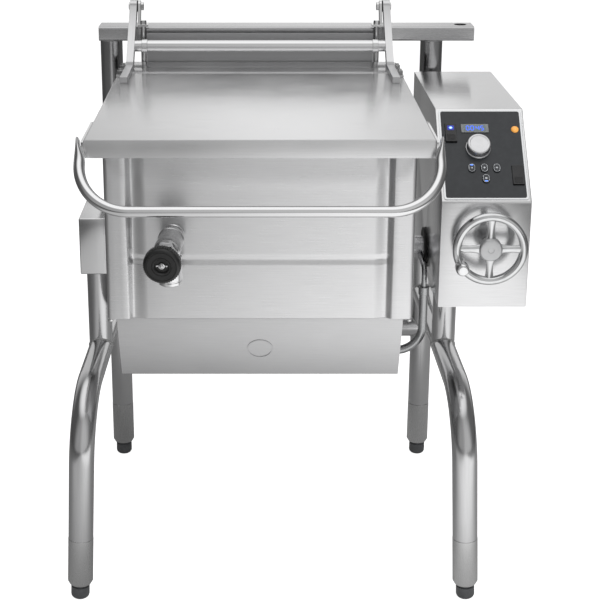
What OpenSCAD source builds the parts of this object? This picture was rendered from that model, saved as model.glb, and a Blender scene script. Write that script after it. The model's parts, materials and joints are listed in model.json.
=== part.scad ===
/* [Stand] */
// Outside diameter of the stand's tubes
tube_d = 50.8; // [45:0.1:56]
// Wall of the stand's tubes
tube_wall = 2; // [1.5:0.5:3]
// Distance of the rear posts' middle lines from the casing's sides
side_gap = 87; // [83:1:97]
// How far the stand's middle lies to the right of the pan's middle
stand_shift = 26.5; // [24:0.5:32]
// Distance from the front feet to the rear feet
feet_depth = 675; // [670:1:700]
// Height of the side runs that the front legs bend down from
run_z = 432; // [415:1:440]
// Radius of the bend in each front leg
bend_r = 130; // [110:5:170]
// Outward lean of each front leg, in degrees
splay = 2.6; // [1.5:0.1:4]
// Outward turn of each side run towards the front, in degrees
toe = 0.8; // [0:0.1:1.5]
// Height of the rear stretcher
stretcher_z = 341; // [300:1:370]
// Height of the top edge of the ferrules on the leg ends
ferrule_top_z = 138; // [110:1:160]
// Height of the leg above the floor, where the adjustable foot starts
foot_h = 33; // [28:1:40]
// Diameter of the adjustable foot
foot_d = 38; // [34:1:42]
// How far a foot can be screwed out
foot_travel = 25; // [15:1:35]
// Height of the crossbar's top face
bar_top_z = 1082; // [1078:1:1090]
// Height of the crossbar
bar_h = 33; // [28:1:36]
// Depth of the crossbar, front to back
bar_depth = 70; // [60:1:76]
// Rounding of the crossbar's long edges
bar_edge_r = 6; // [3:1:10]
// How far the crossbar reaches past the right post
bar_reach = 94; // [80:1:110]
// Diameter of the faucet hole in the crossbar
faucet_hole_d = 28.6; // [22:0.2:32]

/* [Trunnion] */
// Distance of the tilt axis behind the front feet
axis_y = 315; // [305:1:325]
// Height of the tilt axis
axis_z = 660; // [655:1:668]
// Diameter of the trunnion shaft
shaft_d = 48; // [44:1:50]
// Width of the housing on the left post
housing_w = 60; // [58:1:64]
// Depth of the housing on the left post
housing_depth = 140; // [120:1:150]
// Height of the housing on the left post
housing_h = 123; // [115:1:130]

/* [Pan] */
// Width of the pan's casing
casing_w = 566; // [556:1:572]
// Distance of the casing's back ahead of the rear feet
casing_back = 105; // [100:1:112]
// Depth of the casing, front to back
casing_depth = 685; // [670:1:690]
// Height of the casing's lower edge
casing_bottom_z = 655; // [650:1:660]
// Height of the pan's rim
rim_z = 1004; // [1000:1:1010]
// Depth of the pan inside
pan_depth = 214; // [190:1:220]
// Wall of the pan
pan_wall = 3; // [2:0.5:4]
// Width of the pan's rim flange, beyond the casing
rim_reach = 22; // [18:1:23]
// Height of the turned-down edge of the rim flange
rim_drop = 12; // [8:1:16]
// Thickness of the heating plate under the pan
plate_t = 16; // [12:1:20]
// Height of the heater box below the casing
heater_box_h = 141; // [130:1:150]
// How far the heater box's front leans back
heater_box_lean = 59; // [45:1:70]

/* [Draw-off valve] */
// Distance of the valve left of the pan's middle
valve_x = 158; // [150:1:165]
// Height of the valve's nipple
valve_z = 822; // [818:1:830]
// Inside diameter of the valve's nipple
valve_bore_d = 26; // [20:1:28]
// Outside diameter of the valve's outlet
outlet_d = 44; // [40:1:48]
// Diameter of the valve's black knob
valve_knob_d = 67; // [60:1:72]

/* [Lid] */
// How far the lid reaches past the casing on each side
lid_side = 27; // [24:1:30]
// How far the lid reaches past the casing's front
lid_front = 35; // [31:1:40]
// How far the lid reaches past the casing's back
lid_back = 50; // [42:1:52]
// Height of the lid's edge flange
lid_flange_h = 34; // [28:1:40]
// Thickness of the lid's sheet
lid_t = 2.5; // [1.5:0.5:3]
// Diameter of the lid's handle tube
handle_d = 20; // [18:1:22]
// Bend radius of the handle's corners
handle_r = 90; // [70:1:110]
// How far the handle stands ahead of the lid, along its slope
handle_reach = 120; // [110:1:130]
// Slope of the handle below the horizontal, in degrees
handle_slope = 48; // [40:1:55]
// Distance of the lid's hinge pins behind the casing's back
hinge_back = 85; // [80:1:90]
// Height of the lid's hinge pins
hinge_z = 1128; // [1120:1:1134]
// Diameter of the tie tube between the lid's arms
tie_d = 25.4; // [22:0.2:27]

/* [Console] */
// Width of the console
console_w = 176; // [170:1:190]
// Distance of the console's left side from the casing's side
console_gap = 71; // [69:1:73]
// Distance of the console's front face behind the front feet
console_y = 71; // [65:1:80]
// Distance of the console's back ahead of the rear feet
console_back = 47; // [41:1:75]
// Height of the console's underside
console_z = 612; // [604:1:614]
// Height of the lower edge of the sloped panel
panel_low_z = 829; // [820:1:835]
// Height of the console's top
console_top_z = 982; // [976:1:990]
// Depth that the sloped panel takes
panel_run = 154; // [145:1:160]
// Sheet of the console
sheet_t = 1.5; // [1:0.5:2]

/* [Handwheel] */
// Outside diameter of the handwheel
wheel_d = 146; // [130:1:152]
// Thickness of the handwheel's rim
wheel_rim_d = 17; // [14:1:19]
// Height of the handwheel's centre
wheel_z = 749; // [745:1:753]
// Distance of the handwheel's centre from the console's left side
wheel_in = 91; // [84:1:94]
// Number of teeth on a full turn of the worm gear
gear_teeth = 40; // [36:1:44]

/* [Motion] */
// Largest forward tilt of the pan, in degrees
tilt_max = 75; // [60:1:80]
// Largest opening of the lid, in degrees
lid_max = 85; // [70:1:90]

/* [Hidden] */
$fn = 48;
// One overrun for every cut
cut = 1;
// Gap between faces of pieces that are set against each other
seat = 0.3;
// Radial clearance of a shaft in its bearing
running = 0.05;
// Clearance round a piece that passes through a hole
pass = 1.5;

casing_hw = casing_w / 2;
casing_y1 = feet_depth - casing_back;
casing_y0 = casing_y1 - casing_depth;
console_x = casing_hw + console_gap;
console_x1 = console_x + console_w;
console_back_y = feet_depth - console_back;
wheel_x = console_x + wheel_in;
wheel_ahead = 49;
wheel_y = console_y - wheel_ahead;

tube_r = tube_d / 2;
side_half = casing_hw + side_gap;
side_x = [stand_shift - side_half, stand_shift + side_half];
post_out = (feet_depth - axis_y) * sin(toe);
post_x = [side_x[0] - post_out, side_x[1] + post_out];
leg_len = run_z / cos(splay);
ferrule_len = ferrule_top_z - foot_h;
ferrule_taper = 7;
ferrule_step = 0.4;
foot_stem_d = 20;
foot_stem_len = 60;
foot_groove = 3;
foot_round = 9;
bar_setback = 6;
bar_y0 = feet_depth - bar_depth / 2 + bar_setback;
bar_y1 = bar_y0 + bar_depth;
bar_x0 = side_x[0] - tube_r - 2 * seat;
bar_x1 = side_x[1] + bar_reach;
bar_bottom_z = bar_top_z - bar_h;
bar_wall = 2.5;
bar_end_margin = 28;
faucet_x = bar_x1 - bar_end_margin;

housing_x0 = post_x[0] - housing_w / 2;
housing_y0 = axis_y - housing_depth / 2;
housing_drop = 39;
housing_z0 = axis_z - housing_drop;
bearing_w = 32;
bearing_wall = 14;
bearing_foot_h = 10;
bearing_foot_w = 104;
seal_r = 43;
seal_t = 4.5;
shaft_wall = 5;
shaft_end = 5;
shaft_x0 = post_x[0] - bearing_w / 2 - shaft_end;
gear_w = 14;
shaft_tail = 12;
shaft_x1 = wheel_x + gear_w / 2 + shaft_tail;

casing_t = 1.5;
casing_gap_z = 4;
rim_front = 26;
rim_rear = 18;
casing_top_z = rim_z - rim_drop - casing_gap_z;
casing_edge_r = 8;
strip_w = 38;
panel_inset = 4;
jacket = 18;
tank_hw = casing_hw - jacket;
tank_y0 = casing_y0 + jacket;
tank_y1 = casing_y1 - jacket;
tank_floor_z = rim_z - pan_depth;
corner_r = 22;
tank_bottom_z = tank_floor_z - pan_wall;
plate_z0 = tank_bottom_z - seat - plate_t;
plate_margin = 40;
element_d = 12;
element_count = 3;
element_len = 460;
insul_t = 34;
insul_z0 = plate_z0 - element_d - 2 * seat - insul_t;
cradle_in = 95;
cradle_x = tank_hw - cradle_in;
element_in = 50;
element_pitch = 2 * (cradle_x - element_in) / (element_count - 1);
cradle_t = 10;
cradle_w = 110;
box_step = 16;

box_hw = casing_hw - box_step;
box_y0 = casing_y0 + box_step;
box_y1 = casing_y1 - box_step;
box_top_z = casing_bottom_z - seat;
box_bottom_z = casing_bottom_z - heater_box_h;
knockout_d = 50;
knockout_w = 3;
knockout_h = 1.2;
knockout_share = 0.47;
screw_head_d = 10;
screw_head_h = 5;

conduit_d = 18;
conduit_gap = 11.5;
conduit_ahead = 105;
conduit_x = console_x - conduit_gap;
conduit_y = axis_y - conduit_ahead;
conduit_pipe_d = 11;
conduit_nut_drop = 54;
conduit_pipe_z = axis_z - conduit_nut_drop;
conduit_low = 50;
conduit_low_z = box_bottom_z - conduit_low;
conduit_bend_r = 55;
conduit_rise_r = 24;
conduit_in = 41;
conduit_in_x = box_hw - conduit_in;
conduit_nut_d = 22;
conduit_nut_h = 16;
elbow_r = 16;

valve_tilt = 5;
valve_yaw = 4.5;
valve_ahead = cos(valve_tilt) * cos(valve_yaw);
nipple_d = 34;
nipple_len = 24;
collar_d = 40;
collar_h = 6;
collar_z = collar_d / 2 * sqrt(1 - valve_ahead * valve_ahead) + seat;
valve_body_d = 48;
valve_body_len = 64;
bonnet_af = 38;
bonnet_len = 18;
outlet_drop = 76;
outlet_wall = 3;
stem_d = 12;
stem_len = 14;
valve_knob_h = 34;
knob_rib_count = 30;
knob_rib_d = 4;
knob_dish_d = 32;
knob_dish_h = 6;
knob_hub_d = 22;
strainer_d = 46;
strainer_t = 2;
strainer_hole_d = 5;
strainer_ring_r = 13.5;
strainer_off = 4;

lid_hw = casing_hw + lid_side;
lid_y0 = casing_y0 - lid_front;
lid_y1 = casing_y1 + lid_back;
lid_top_z = rim_z + seat + lid_t;
lid_corner = 12;
flange_end = 100;
strap_len = 150;
strap_h = 32;
strap_t = 4.5;
handle_wall = 1.5;
handle_off = 6;
handle_x = lid_hw + handle_off;
handle_z = lid_top_z - lid_flange_h / 2;
handle_leg = handle_reach - handle_r;
hinge_y = casing_y1 + hinge_back;
arm_in = 22;
arm_x = lid_hw - arm_in;
arm_t = 16;
arm_h = 22;
arm_foot_len = 175;
arm_foot_ahead = 30;
arm_foot_y1 = casing_y1 - arm_foot_ahead;
arm_foot_y0 = arm_foot_y1 - arm_foot_len;
arm_foot_h = 12;
arm_low_z = lid_top_z + arm_h / 2 + seat;
arm_bend_in = 14;
arm_low_y = arm_foot_y1 - arm_bend_in;
arm_rise = atan2(hinge_z - arm_low_z, hinge_y - arm_low_y);
arm_end_r = 14;
arm_tab_w = 14;
arm_tab_t = 3;
arm_tab_len = 110;
arm_tab_y0 = arm_foot_y1 - arm_tab_len;
lid_bolt_inset = 22;
lid_bolt_ys = [arm_tab_y0 + lid_bolt_inset, arm_foot_y1 - lid_bolt_inset];
lid_bolt_d = 8;
lid_nut_d = 13;
lid_nut_h = 7;
tie_ahead = 85;
tie_drop = 77;
tie_y = hinge_y - tie_ahead;
tie_z = hinge_z - tie_drop;
tie_collar_w = 12;
tie_collar_d = 30;
pin_d = 10;
pin_head_d = 17;
pin_head_h = 6;
washer_t = 2.5;
washer_d = 26;
hinge_plate_t = 6;
hinge_plate_w = 26;
stud_d = 12.5;
stud_ahead = 23;
stud_drop = 42;
stud_y = hinge_y - stud_ahead;
stud_top_z = hinge_z - stud_drop;
stud_nut_h = 8;
tab_t = 5;
tab_w = 24;
upright_in = 29.5;
upright_hw = arm_x - upright_in;
upright_ahead = 6;
upright_y = stud_y - upright_ahead;
upright_t = 2;
upright_drop = 57;
upright_top_z = hinge_z - upright_drop;
upright_return = 11;
ledge_drop = 32;
ledge_h = 72;
ledge_z1 = rim_z - ledge_drop;
ledge_z0 = ledge_z1 - ledge_h;
ledge_y1 = upright_y + upright_t + upright_return;

ridge_y = console_y + panel_run;
panel_rise = console_top_z - panel_low_z;
panel_angle = atan2(panel_rise, panel_run);
panel_len = sqrt(panel_rise * panel_rise + panel_run * panel_run);
bezel_margin = 5;
bezel_t = 2;
overlay_margin = 9;
overlay_t = 1;
face_h = bezel_t + overlay_t;
switch_gap = 0.4;
rocker_w = 22;
rocker_len = 44;
rocker_h = 7;
rocker_pivot_d = 4;
rocker_depth = 9;
rocker_tilt = 8;
display_w = 55;
display_len = 20;
display_t = 2;
dial_d = 46;
dial_h = 18;
dial_skirt_d = 50;
dial_skirt_h = 3;
dial_stem_d = 8;
button_w = 14;
button_len = 19;
button_h = 3;
button_travel = 1.5;
lamp_d = 15;
lamp_h = 4;
// Places on the sloped panel, as shares of its width and of its length up the slope
power_share = [0.155, 0.72];
dial_share = [0.45, 0.56];
button_share = [0.50, 0.345];
lamp_share = [0.885, 0.76];
aux_share = [0.87, 0.27];
board_hole_shares = [[0.08, 0.05], [0.92, 0.05], [0.08, 0.95], [0.92, 0.95]];
// Place of the display from the dial's middle, and of the buttons from the middle one
display_shift = -3.5;
display_row = 45.6;
button_pitch = 24.6;
button_row = 23.9;
button_shift = 1.8;
button_places = [[-button_pitch, 0], [0, 0], [button_pitch, 0], [button_shift, -button_row]];

hub_d = 45;
hub_len = 20;
spoke_w = 19;
spoke_t = 9;
crank_angle = 208;
crank_pin_d = 8;
crank_knob_d = 26;
crank_knob_len = 34;
crank_end_d = 17;
crank_swell_share = 0.4;
crank_round_share = 0.3;
worm_pitch_r = 19;
gear_pitch_r = wheel_z - axis_z - worm_pitch_r;
worm_module = 2 * gear_pitch_r / gear_teeth;
worm_pitch = PI * worm_module;
tooth_out_share = 0.85;
tooth_in_share = 1.15;
tooth_out = tooth_out_share * worm_module;
tooth_in = tooth_in_share * worm_module;
tooth_share = 0.4;
tooth_root_share = 1.4;
tooth_tip_share = 0.6;
gear_hub_d = 72;
gear_spread_back = 14;
gear_spread_front = tilt_max + 14;
gear_first = -floor(gear_spread_front * gear_teeth / 360);
gear_last = floor(gear_spread_back * gear_teeth / 360) - 1;
worm_turns = 4;
worm_steps = 24;
worm_shaft_d = 16;
worm_bearing_t = 14;
worm_bearing_w = 60;
worm_bearing_drop = 22;
// Distance of the worm's bearing plates from the tilt axis: past the worm's core and clear of the gear's teeth
worm_bearing_in = max((worm_turns + 1) * worm_pitch / 2 + seat,
    sqrt(pow(gear_pitch_r + tooth_out + pass, 2) - pow(wheel_z - worm_bearing_drop - axis_z, 2)));
bushing_d = 30;
bushing_h = 10;
board_t = 6;

// Middle of the whole machine, which is put at the origin
leg_drop = leg_len - ferrule_top_z / cos(splay) + ferrule_len - ferrule_taper;
mid_x = (console_x1 + side_x[0] - leg_drop * sin(splay) * cos(toe) - feet_depth * sin(toe)
    - (tube_r + ferrule_step) * sqrt(1 - pow(sin(splay) * cos(toe), 2))) / 2;
valve_reach = nipple_len + valve_body_len + bonnet_len + stem_len + valve_knob_h;
mid_y = (bar_y1 + casing_y0 + panel_inset - (valve_reach + seat) * valve_ahead
    - (valve_knob_d - knob_rib_d) / 2 * sqrt(1 - valve_ahead * valve_ahead)) / 2;

// Puts the middle of the machine at the origin
module place() translate([-mid_x, -mid_y, 0]) children();

// Round bars along each direction, between two places
module rod_x(x0, x1, y, z, d) translate([x0, y, z]) rotate([0, 90, 0]) cylinder(h = x1 - x0, d = d);
module rod_y(y0, y1, x, z, d) translate([x, y0, z]) rotate([-90, 0, 0]) cylinder(h = y1 - y0, d = d);
module rod_z(z0, z1, x, y, d) translate([x, y, z0]) cylinder(h = z1 - z0, d = d);

// Box between two corners
module block(low, high) translate(low) cube(high - low);

// Outline drawn in Y and Z, made solid from x0 to x1
module across(x0, x1) translate([x0, 0, 0]) rotate([90, 0, 90]) linear_extrude(x1 - x0) children();

// Outline drawn in X and Z, made solid from y0 to y1
module along(y0, y1) translate([0, y1, 0]) rotate([90, 0, 0]) linear_extrude(y1 - y0) children();

// Rectangle with round corners
module round_rect(low, high, r) {
    size = high - low;
    translate(low) {
        translate([r, 0]) square([size[0] - 2 * r, size[1]]);
        translate([0, r]) square([size[0], size[1] - 2 * r]);
        for (x = [r, size[0] - r], y = [r, size[1] - r]) translate([x, y]) circle(r = r);
    }
}

// Hexagon across its flats
module hexagon(flats) circle(d = flats / cos(30), $fn = 6);

// Both sides of the machine, mirrored in the pan's middle plane
module both_sides() {
    children();
    mirror([1, 0, 0]) children();
}

// Leg line of a front leg: local Z runs up the leaning leg, with zero at the side run
module leaning(side) translate([side_x[side], feet_depth, run_z])
    rotate([0, side == 0 ? splay : -splay, side == 0 ? -toe : toe]) translate([0, -feet_depth, 0]) children();

// Solid or bore of one front leg: straight run, bend and leg
module leg_path(side, r, over) leaning(side) {
    translate([0, bend_r, 0]) rotate([-90, 0, 0]) cylinder(r = r, h = feet_depth - bend_r);
    translate([0, bend_r, -bend_r]) rotate([90, 0, -90]) rotate_extrude(angle = 90)
        translate([bend_r, 0]) circle(r = r);
    translate([0, 0, -(leg_len - ferrule_top_z / cos(splay)) - over])
        cylinder(r = r, h = leg_len - ferrule_top_z / cos(splay) - bend_r + over);
}

module front_leg(side) {
    difference() {
        leg_path(side, tube_r, 0);
        leg_path(side, tube_r - tube_wall, cut);
        rod_z(0, bar_top_z, side_x[side], feet_depth, tube_d + 2 * seat);
    }
}

module front_leg_left() color("silver") place() front_leg(0);
module front_leg_right() color("silver") place() front_leg(1);

module rear_posts() color("silver") place() for (x = side_x) difference() {
    rod_z(ferrule_top_z, bar_bottom_z - seat, x, feet_depth, tube_d);
    rod_z(ferrule_top_z - cut, bar_bottom_z + cut, x, feet_depth, tube_d - 2 * tube_wall);
}

// Top of a trunnion post: under the left housing, or under the console
function post_top(side) = (side == 0 ? housing_z0 : console_z) - seat;

module trunnion_posts() color("silver") place() for (side = [0, 1]) difference() {
    rod_z(run_z, post_top(side), post_x[side], axis_y, tube_d);
    rod_z(run_z - cut, post_top(side) + cut, post_x[side], axis_y, tube_d - 2 * tube_wall);
    leaning(side) rod_y(axis_y - tube_d, axis_y + tube_d, 0, 0, tube_d + 2 * seat);
}

module rear_crossbar() color("silver") place() difference() {
    across(bar_x0, bar_x1) round_rect([bar_y0, bar_bottom_z], [bar_y1, bar_top_z], bar_edge_r);
    across(bar_x0 + bar_wall, bar_x1 - bar_wall) round_rect([bar_y0 + bar_wall, bar_bottom_z + bar_wall],
        [bar_y1 - bar_wall, bar_top_z - bar_wall], bar_edge_r - bar_wall);
    rod_z(bar_bottom_z - cut, bar_top_z + cut, faucet_x, (bar_y0 + bar_y1) / 2, faucet_hole_d);
}

module rear_stretcher() color("silver") place() difference() {
    rod_x(side_x[0], side_x[1], feet_depth, stretcher_z, tube_d);
    rod_x(side_x[0] - cut, side_x[1] + cut, feet_depth, stretcher_z, tube_d - 2 * tube_wall);
    for (x = side_x) rod_z(0, bar_top_z, x, feet_depth, tube_d + 2 * seat);
}

// Ferrule that closes a leg's end and holds the foot's stem, with zero at its top
module ferrule() difference() {
    union() {
        translate([0, 0, -ferrule_len + ferrule_taper])
            cylinder(r = tube_r + ferrule_step, h = ferrule_len - ferrule_taper - seat);
        translate([0, 0, -ferrule_len])
            cylinder(r1 = foot_d / 2 + foot_groove, r2 = tube_r + ferrule_step, h = ferrule_taper);
    }
    translate([0, 0, -ferrule_len - cut])
        cylinder(d = foot_stem_d + 2 * running, h = foot_stem_len + foot_travel);
}

// Adjustable foot, with zero where it meets the ferrule
module foot() {
    rotate_extrude() polygon([
        [0, foot_stem_len], [foot_stem_d / 2, foot_stem_len], [foot_stem_d / 2, -seat],
        [foot_d / 2 - foot_groove, -seat], [foot_d / 2 - foot_groove, -2 * foot_groove],
        [foot_d / 2, -2 * foot_groove], [foot_d / 2, -foot_h + foot_round],
        for (a = [15:15:75]) [foot_d / 2 - foot_round * (1 - cos(a)), -foot_h + foot_round * (1 - sin(a))],
        [foot_d / 2 - foot_round, -foot_h - foot_groove], [0, -foot_h - foot_groove]
    ]);
}

// Puts a piece on the end of a leg, at the height z0 measured up the leg
module on_leg(side, rear, z0) {
    if (rear) translate([side_x[side], feet_depth, z0]) children();
    else leaning(side) translate([0, 0, -(leg_len - z0 / cos(splay))]) children();
}

module leg_ferrules() color("gainsboro") place() for (side = [0, 1], rear = [false, true])
    on_leg(side, rear, ferrule_top_z) ferrule();

module standing_foot(side, rear) intersection() {
    on_leg(side, rear, foot_h) foot();
    block([side_x[0] - housing_depth, -housing_depth, 0],
        [side_x[1] + housing_depth, feet_depth + housing_depth, run_z]);
}

module foot_front_left() color("dimgray") place() standing_foot(0, false);
module foot_front_right() color("dimgray") place() standing_foot(1, false);
module foot_rear_left() color("dimgray") place() standing_foot(0, true);
module foot_rear_right() color("dimgray") place() standing_foot(1, true);

// Housing on the left post: a sheet box with a hole for the shaft on the pan's side
module left_housing() color("silver") place() {
    low = [housing_x0, housing_y0, housing_z0];
    high = low + [housing_w, housing_depth, housing_h];
    wall = [sheet_t, sheet_t, sheet_t];
    difference() {
        block(low, high);
        block(low + wall, high - wall);
        rod_x(post_x[0], high[0] + cut, axis_y, axis_z, shaft_d + 2 * pass);
    }
}

// Pillow bearing on a foot plate at the height z0
module pillow_bearing(x, z0) difference() {
    union() {
        rod_x(x - bearing_w / 2, x + bearing_w / 2, axis_y, axis_z, shaft_d + 2 * bearing_wall);
        block([x - bearing_w / 2, axis_y - bearing_foot_w / 2, z0],
            [x + bearing_w / 2, axis_y + bearing_foot_w / 2, z0 + bearing_foot_h]);
    }
    rod_x(x - bearing_w, x + bearing_w, axis_y, axis_z, shaft_d + 2 * running);
    block([x - bearing_w, axis_y - bearing_foot_w, z0 - bearing_wall],
        [x + bearing_w, axis_y + bearing_foot_w, z0]);
}

module trunnion_bearings() color("dimgray") place() {
    pillow_bearing(post_x[0], housing_z0 + sheet_t + seat);
    pillow_bearing(post_x[1], console_z + sheet_t + seat);
}

module shaft_seals() color("black") place() {
    difference() {
        rod_x(console_x - seal_t, console_x - seat, axis_y, axis_z, 2 * seal_r);
        rod_x(console_x - 2 * seal_t, console_x + cut, axis_y, axis_z, shaft_d + 2 * seat);
    }
    difference() {
        rod_x(housing_x0 + housing_w + seat, housing_x0 + housing_w + seal_t, axis_y, axis_z, 2 * seal_r);
        rod_x(housing_x0, housing_x0 + housing_w + 2 * seal_t, axis_y, axis_z, shaft_d + 2 * seat);
    }
}

// Side outline of the console, drawn in by a margin
module console_side(m) polygon([
    [console_y + m, console_z + m], [console_back_y - m, console_z + m],
    [console_back_y - m, console_top_z - m],
    [ridge_y + m * tan(panel_angle / 2), console_top_z - m],
    [console_y + m, panel_low_z - m * tan((90 - panel_angle) / 2)]
]);

module console_shell() color("silver") place() difference() {
    across(console_x, console_x1) console_side(0);
    across(console_x + sheet_t, console_x1 - sheet_t) console_side(sheet_t);
    block([console_x + sheet_t, console_y + sheet_t, console_z - cut],
        [console_x1 - sheet_t, console_back_y - sheet_t, console_z + 2 * sheet_t]);
    block([console_x + sheet_t, console_back_y - 2 * sheet_t, console_z + sheet_t],
        [console_x1 - sheet_t, console_back_y + cut, console_top_z - sheet_t]);
    rod_x(console_x - cut, console_x + 2 * sheet_t, axis_y, axis_z, shaft_d + 2 * pass);
    rod_y(console_y - cut, console_y + 2 * sheet_t, wheel_x, wheel_z, worm_shaft_d + 2 * pass);
    panel_openings();
}

module console_base() color("silver") place()
    block([console_x + sheet_t + seat, console_y + sheet_t + seat, console_z],
        [console_x1 - sheet_t - seat, console_back_y - 2 * sheet_t - seat, console_z + sheet_t]);

module console_back() color("silver") place()
    block([console_x + sheet_t + seat, console_back_y - sheet_t, console_z + sheet_t],
        [console_x1 - sheet_t - seat, console_back_y, console_top_z - sheet_t - seat]);

// Places a piece on the sloped panel by shares of its width and length, local Z standing off it
module on_panel(share) translate([console_x + share[0] * console_w, console_y, panel_low_z])
    rotate([panel_angle, 0, 0]) translate([0, share[1] * panel_len, 0]) children();

// Places a button on the sloped panel
module on_button(i) on_panel(button_share) translate([button_places[i][0], button_places[i][1], 0]) children();

// Sheet on the sloped panel, drawn in by a margin, between two heights
module panel_sheet(margin, z0, z1) on_panel([0, 0])
    block([margin, margin, z0], [console_w - margin, panel_len - margin, z1]);

// Openings for the dial, the switches and the buttons
module panel_openings() {
    on_panel(dial_share) cylinder(d = dial_stem_d + 2 * pass, h = 2 * dial_h, center = true);
    for (share = [power_share, aux_share]) on_panel(share)
        cube([rocker_w + 2 * switch_gap, rocker_len + 2 * switch_gap, 2 * rocker_depth], center = true);
    for (i = [0:3]) on_button(i) translate([0, 0, -rocker_depth]) linear_extrude(2 * rocker_depth)
        round_rect([-button_w / 2 - switch_gap, -button_len / 2 - switch_gap],
            [button_w / 2 + switch_gap, button_len / 2 + switch_gap], button_w / 2 + switch_gap - seat);
}

module control_panel() color("gainsboro") place() difference() {
    panel_sheet(bezel_margin, seat, bezel_t);
    panel_openings();
}

module panel_overlay() color("black") place() difference() {
    panel_sheet(overlay_margin, bezel_t, face_h);
    panel_openings();
}

module display_window() color("darkslateblue") place() on_panel(dial_share)
    translate([display_shift, display_row, face_h])
    block([-display_w / 2, -display_len / 2, 0], [display_w / 2, display_len / 2, display_t]);

module amber_lamp() color("orange") place() on_panel(lamp_share) translate([0, 0, face_h])
    cylinder(d = lamp_d, h = lamp_h);

// Rocker switch, tipped about a pin that lies along X under the panel
module rocker(share, tip) on_panel(share) rotate([tip, 0, 0]) {
    intersection() {
        translate([-rocker_w / 2, 0, 0]) across(0, rocker_w) polygon([
            [-rocker_len / 2, face_h + rocker_h / 2], [0, face_h + rocker_h / 4],
            [rocker_len / 2, face_h + rocker_h / 2], [rocker_len / 2, -face_h / 2],
            [-rocker_len / 2, -face_h / 2]
        ]);
        rod_x(-rocker_w, rocker_w, 0, 0, rocker_len);
    }
    rod_x(-rocker_w / 2, rocker_w / 2, 0, 0, rocker_pivot_d);
}

module power_switch() color("black") place() rocker(power_share, -rocker_tilt / 2);
module tilt_switch() color("black") place() rocker(aux_share, 0);

module control_knob() color("silver") place() on_panel(dial_share) {
    translate([0, 0, face_h + seat]) cylinder(d = dial_skirt_d, h = dial_skirt_h);
    translate([0, 0, face_h + seat + dial_skirt_h])
        cylinder(d1 = dial_skirt_d - sheet_t, d2 = dial_d, h = dial_h - dial_skirt_h);
    translate([0, 0, -dial_h]) cylinder(d = dial_stem_d, h = dial_h + face_h + dial_skirt_h);
}

module push_button(i) color("dimgray") place() on_button(i) translate([0, 0, -face_h])
    linear_extrude(2 * face_h + button_h)
    round_rect([-button_w / 2, -button_len / 2], [button_w / 2, button_len / 2], button_w / 2 - seat);

module button_left() push_button(0);
module button_middle() push_button(1);
module button_right() push_button(2);
module button_lower() push_button(3);

// Circuit board that the dial's stem reaches
module control_board() color("darkgreen") place() difference() {
    on_panel([0, 0]) block([overlay_margin, overlay_margin, -dial_h - board_t],
        [console_w - overlay_margin, panel_len - overlay_margin, -dial_h - seat]);
    for (share = board_hole_shares) on_panel(share)
        cylinder(d = stem_d / 2, h = 3 * dial_h, center = true);
}

// Half width of a tooth at its root, its middle and its tip
tooth_halves = worm_pitch * tooth_share / 2 * [tooth_root_share, 1, tooth_tip_share];
tooth_radii = [gear_pitch_r - tooth_in, gear_pitch_r, gear_pitch_r + tooth_out];

// Point of a toothed outline at a radius, an offset across it and an angle
function turned(r, across_tooth, a) = [r * cos(a) - across_tooth * sin(a), r * sin(a) + across_tooth * cos(a)];

// Toothed segment on the trunnion shaft; a tooth gap lies straight above the shaft at rest
module worm_gear() color("peru") place() difference() {
    across(wheel_x - gear_w / 2, wheel_x + gear_w / 2) translate([axis_y, axis_z]) {
        circle(d = gear_hub_d);
        polygon([
            [0, 0], turned(tooth_radii[0], 0, 90 - gear_spread_front),
            for (i = [gear_first:gear_last])
                let (a = 90 + (i + 0.5) * 360 / gear_teeth)
                for (side = [-1, 1], k = side < 0 ? [0, 1, 2] : [2, 1, 0])
                    turned(tooth_radii[k], side * tooth_halves[k], a),
            turned(tooth_radii[0], 0, 90 + gear_spread_back)
        ]);
    }
    rod_x(wheel_x - gear_w, wheel_x + gear_w, axis_y, axis_z, shaft_d + 2 * running);
}

// Worm thread: a trapezium swept along a right-hand helix as one closed surface
module worm_thread() {
    rows = worm_turns * worm_steps;
    root = worm_pitch_r - tooth_in;
    tip = worm_pitch_r + tooth_out;
    half_root = tooth_halves[0];
    half_tip = tooth_halves[2];
    section = [[root - cut, -half_root], [root - cut, half_root], [tip, half_tip], [tip, -half_tip]];
    points = [for (i = [0:rows], p = section)
        let (a = 360 * i / worm_steps + 90, s = (i / worm_steps - worm_turns / 2) * worm_pitch)
        [p[0] * cos(a), s + p[1], -p[0] * sin(a)]];
    faces = concat(
        [[0, 1, 2, 3], [for (k = [0:3]) rows * 4 + 3 - k]],
        [for (i = [0:rows - 1], k = [0:3]) [i * 4 + k, (i + 1) * 4 + (k + 1) % 4, i * 4 + (k + 1) % 4]],
        [for (i = [0:rows - 1], k = [0:3]) [i * 4 + k, (i + 1) * 4 + k, (i + 1) * 4 + (k + 1) % 4]]
    );
    polyhedron(points = points, faces = faces);
}

worm_y1 = axis_y + worm_bearing_in + 2 * worm_bearing_t;

module worm_shaft() color("gray") place() {
    rod_y(wheel_y + hub_len / 2 + seat, worm_y1, wheel_x, wheel_z, worm_shaft_d);
    rod_y(axis_y - (worm_turns + 1) * worm_pitch / 2, axis_y + (worm_turns + 1) * worm_pitch / 2,
        wheel_x, wheel_z, 2 * (worm_pitch_r - tooth_in));
    translate([wheel_x, axis_y, wheel_z]) worm_thread();
}

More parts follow.
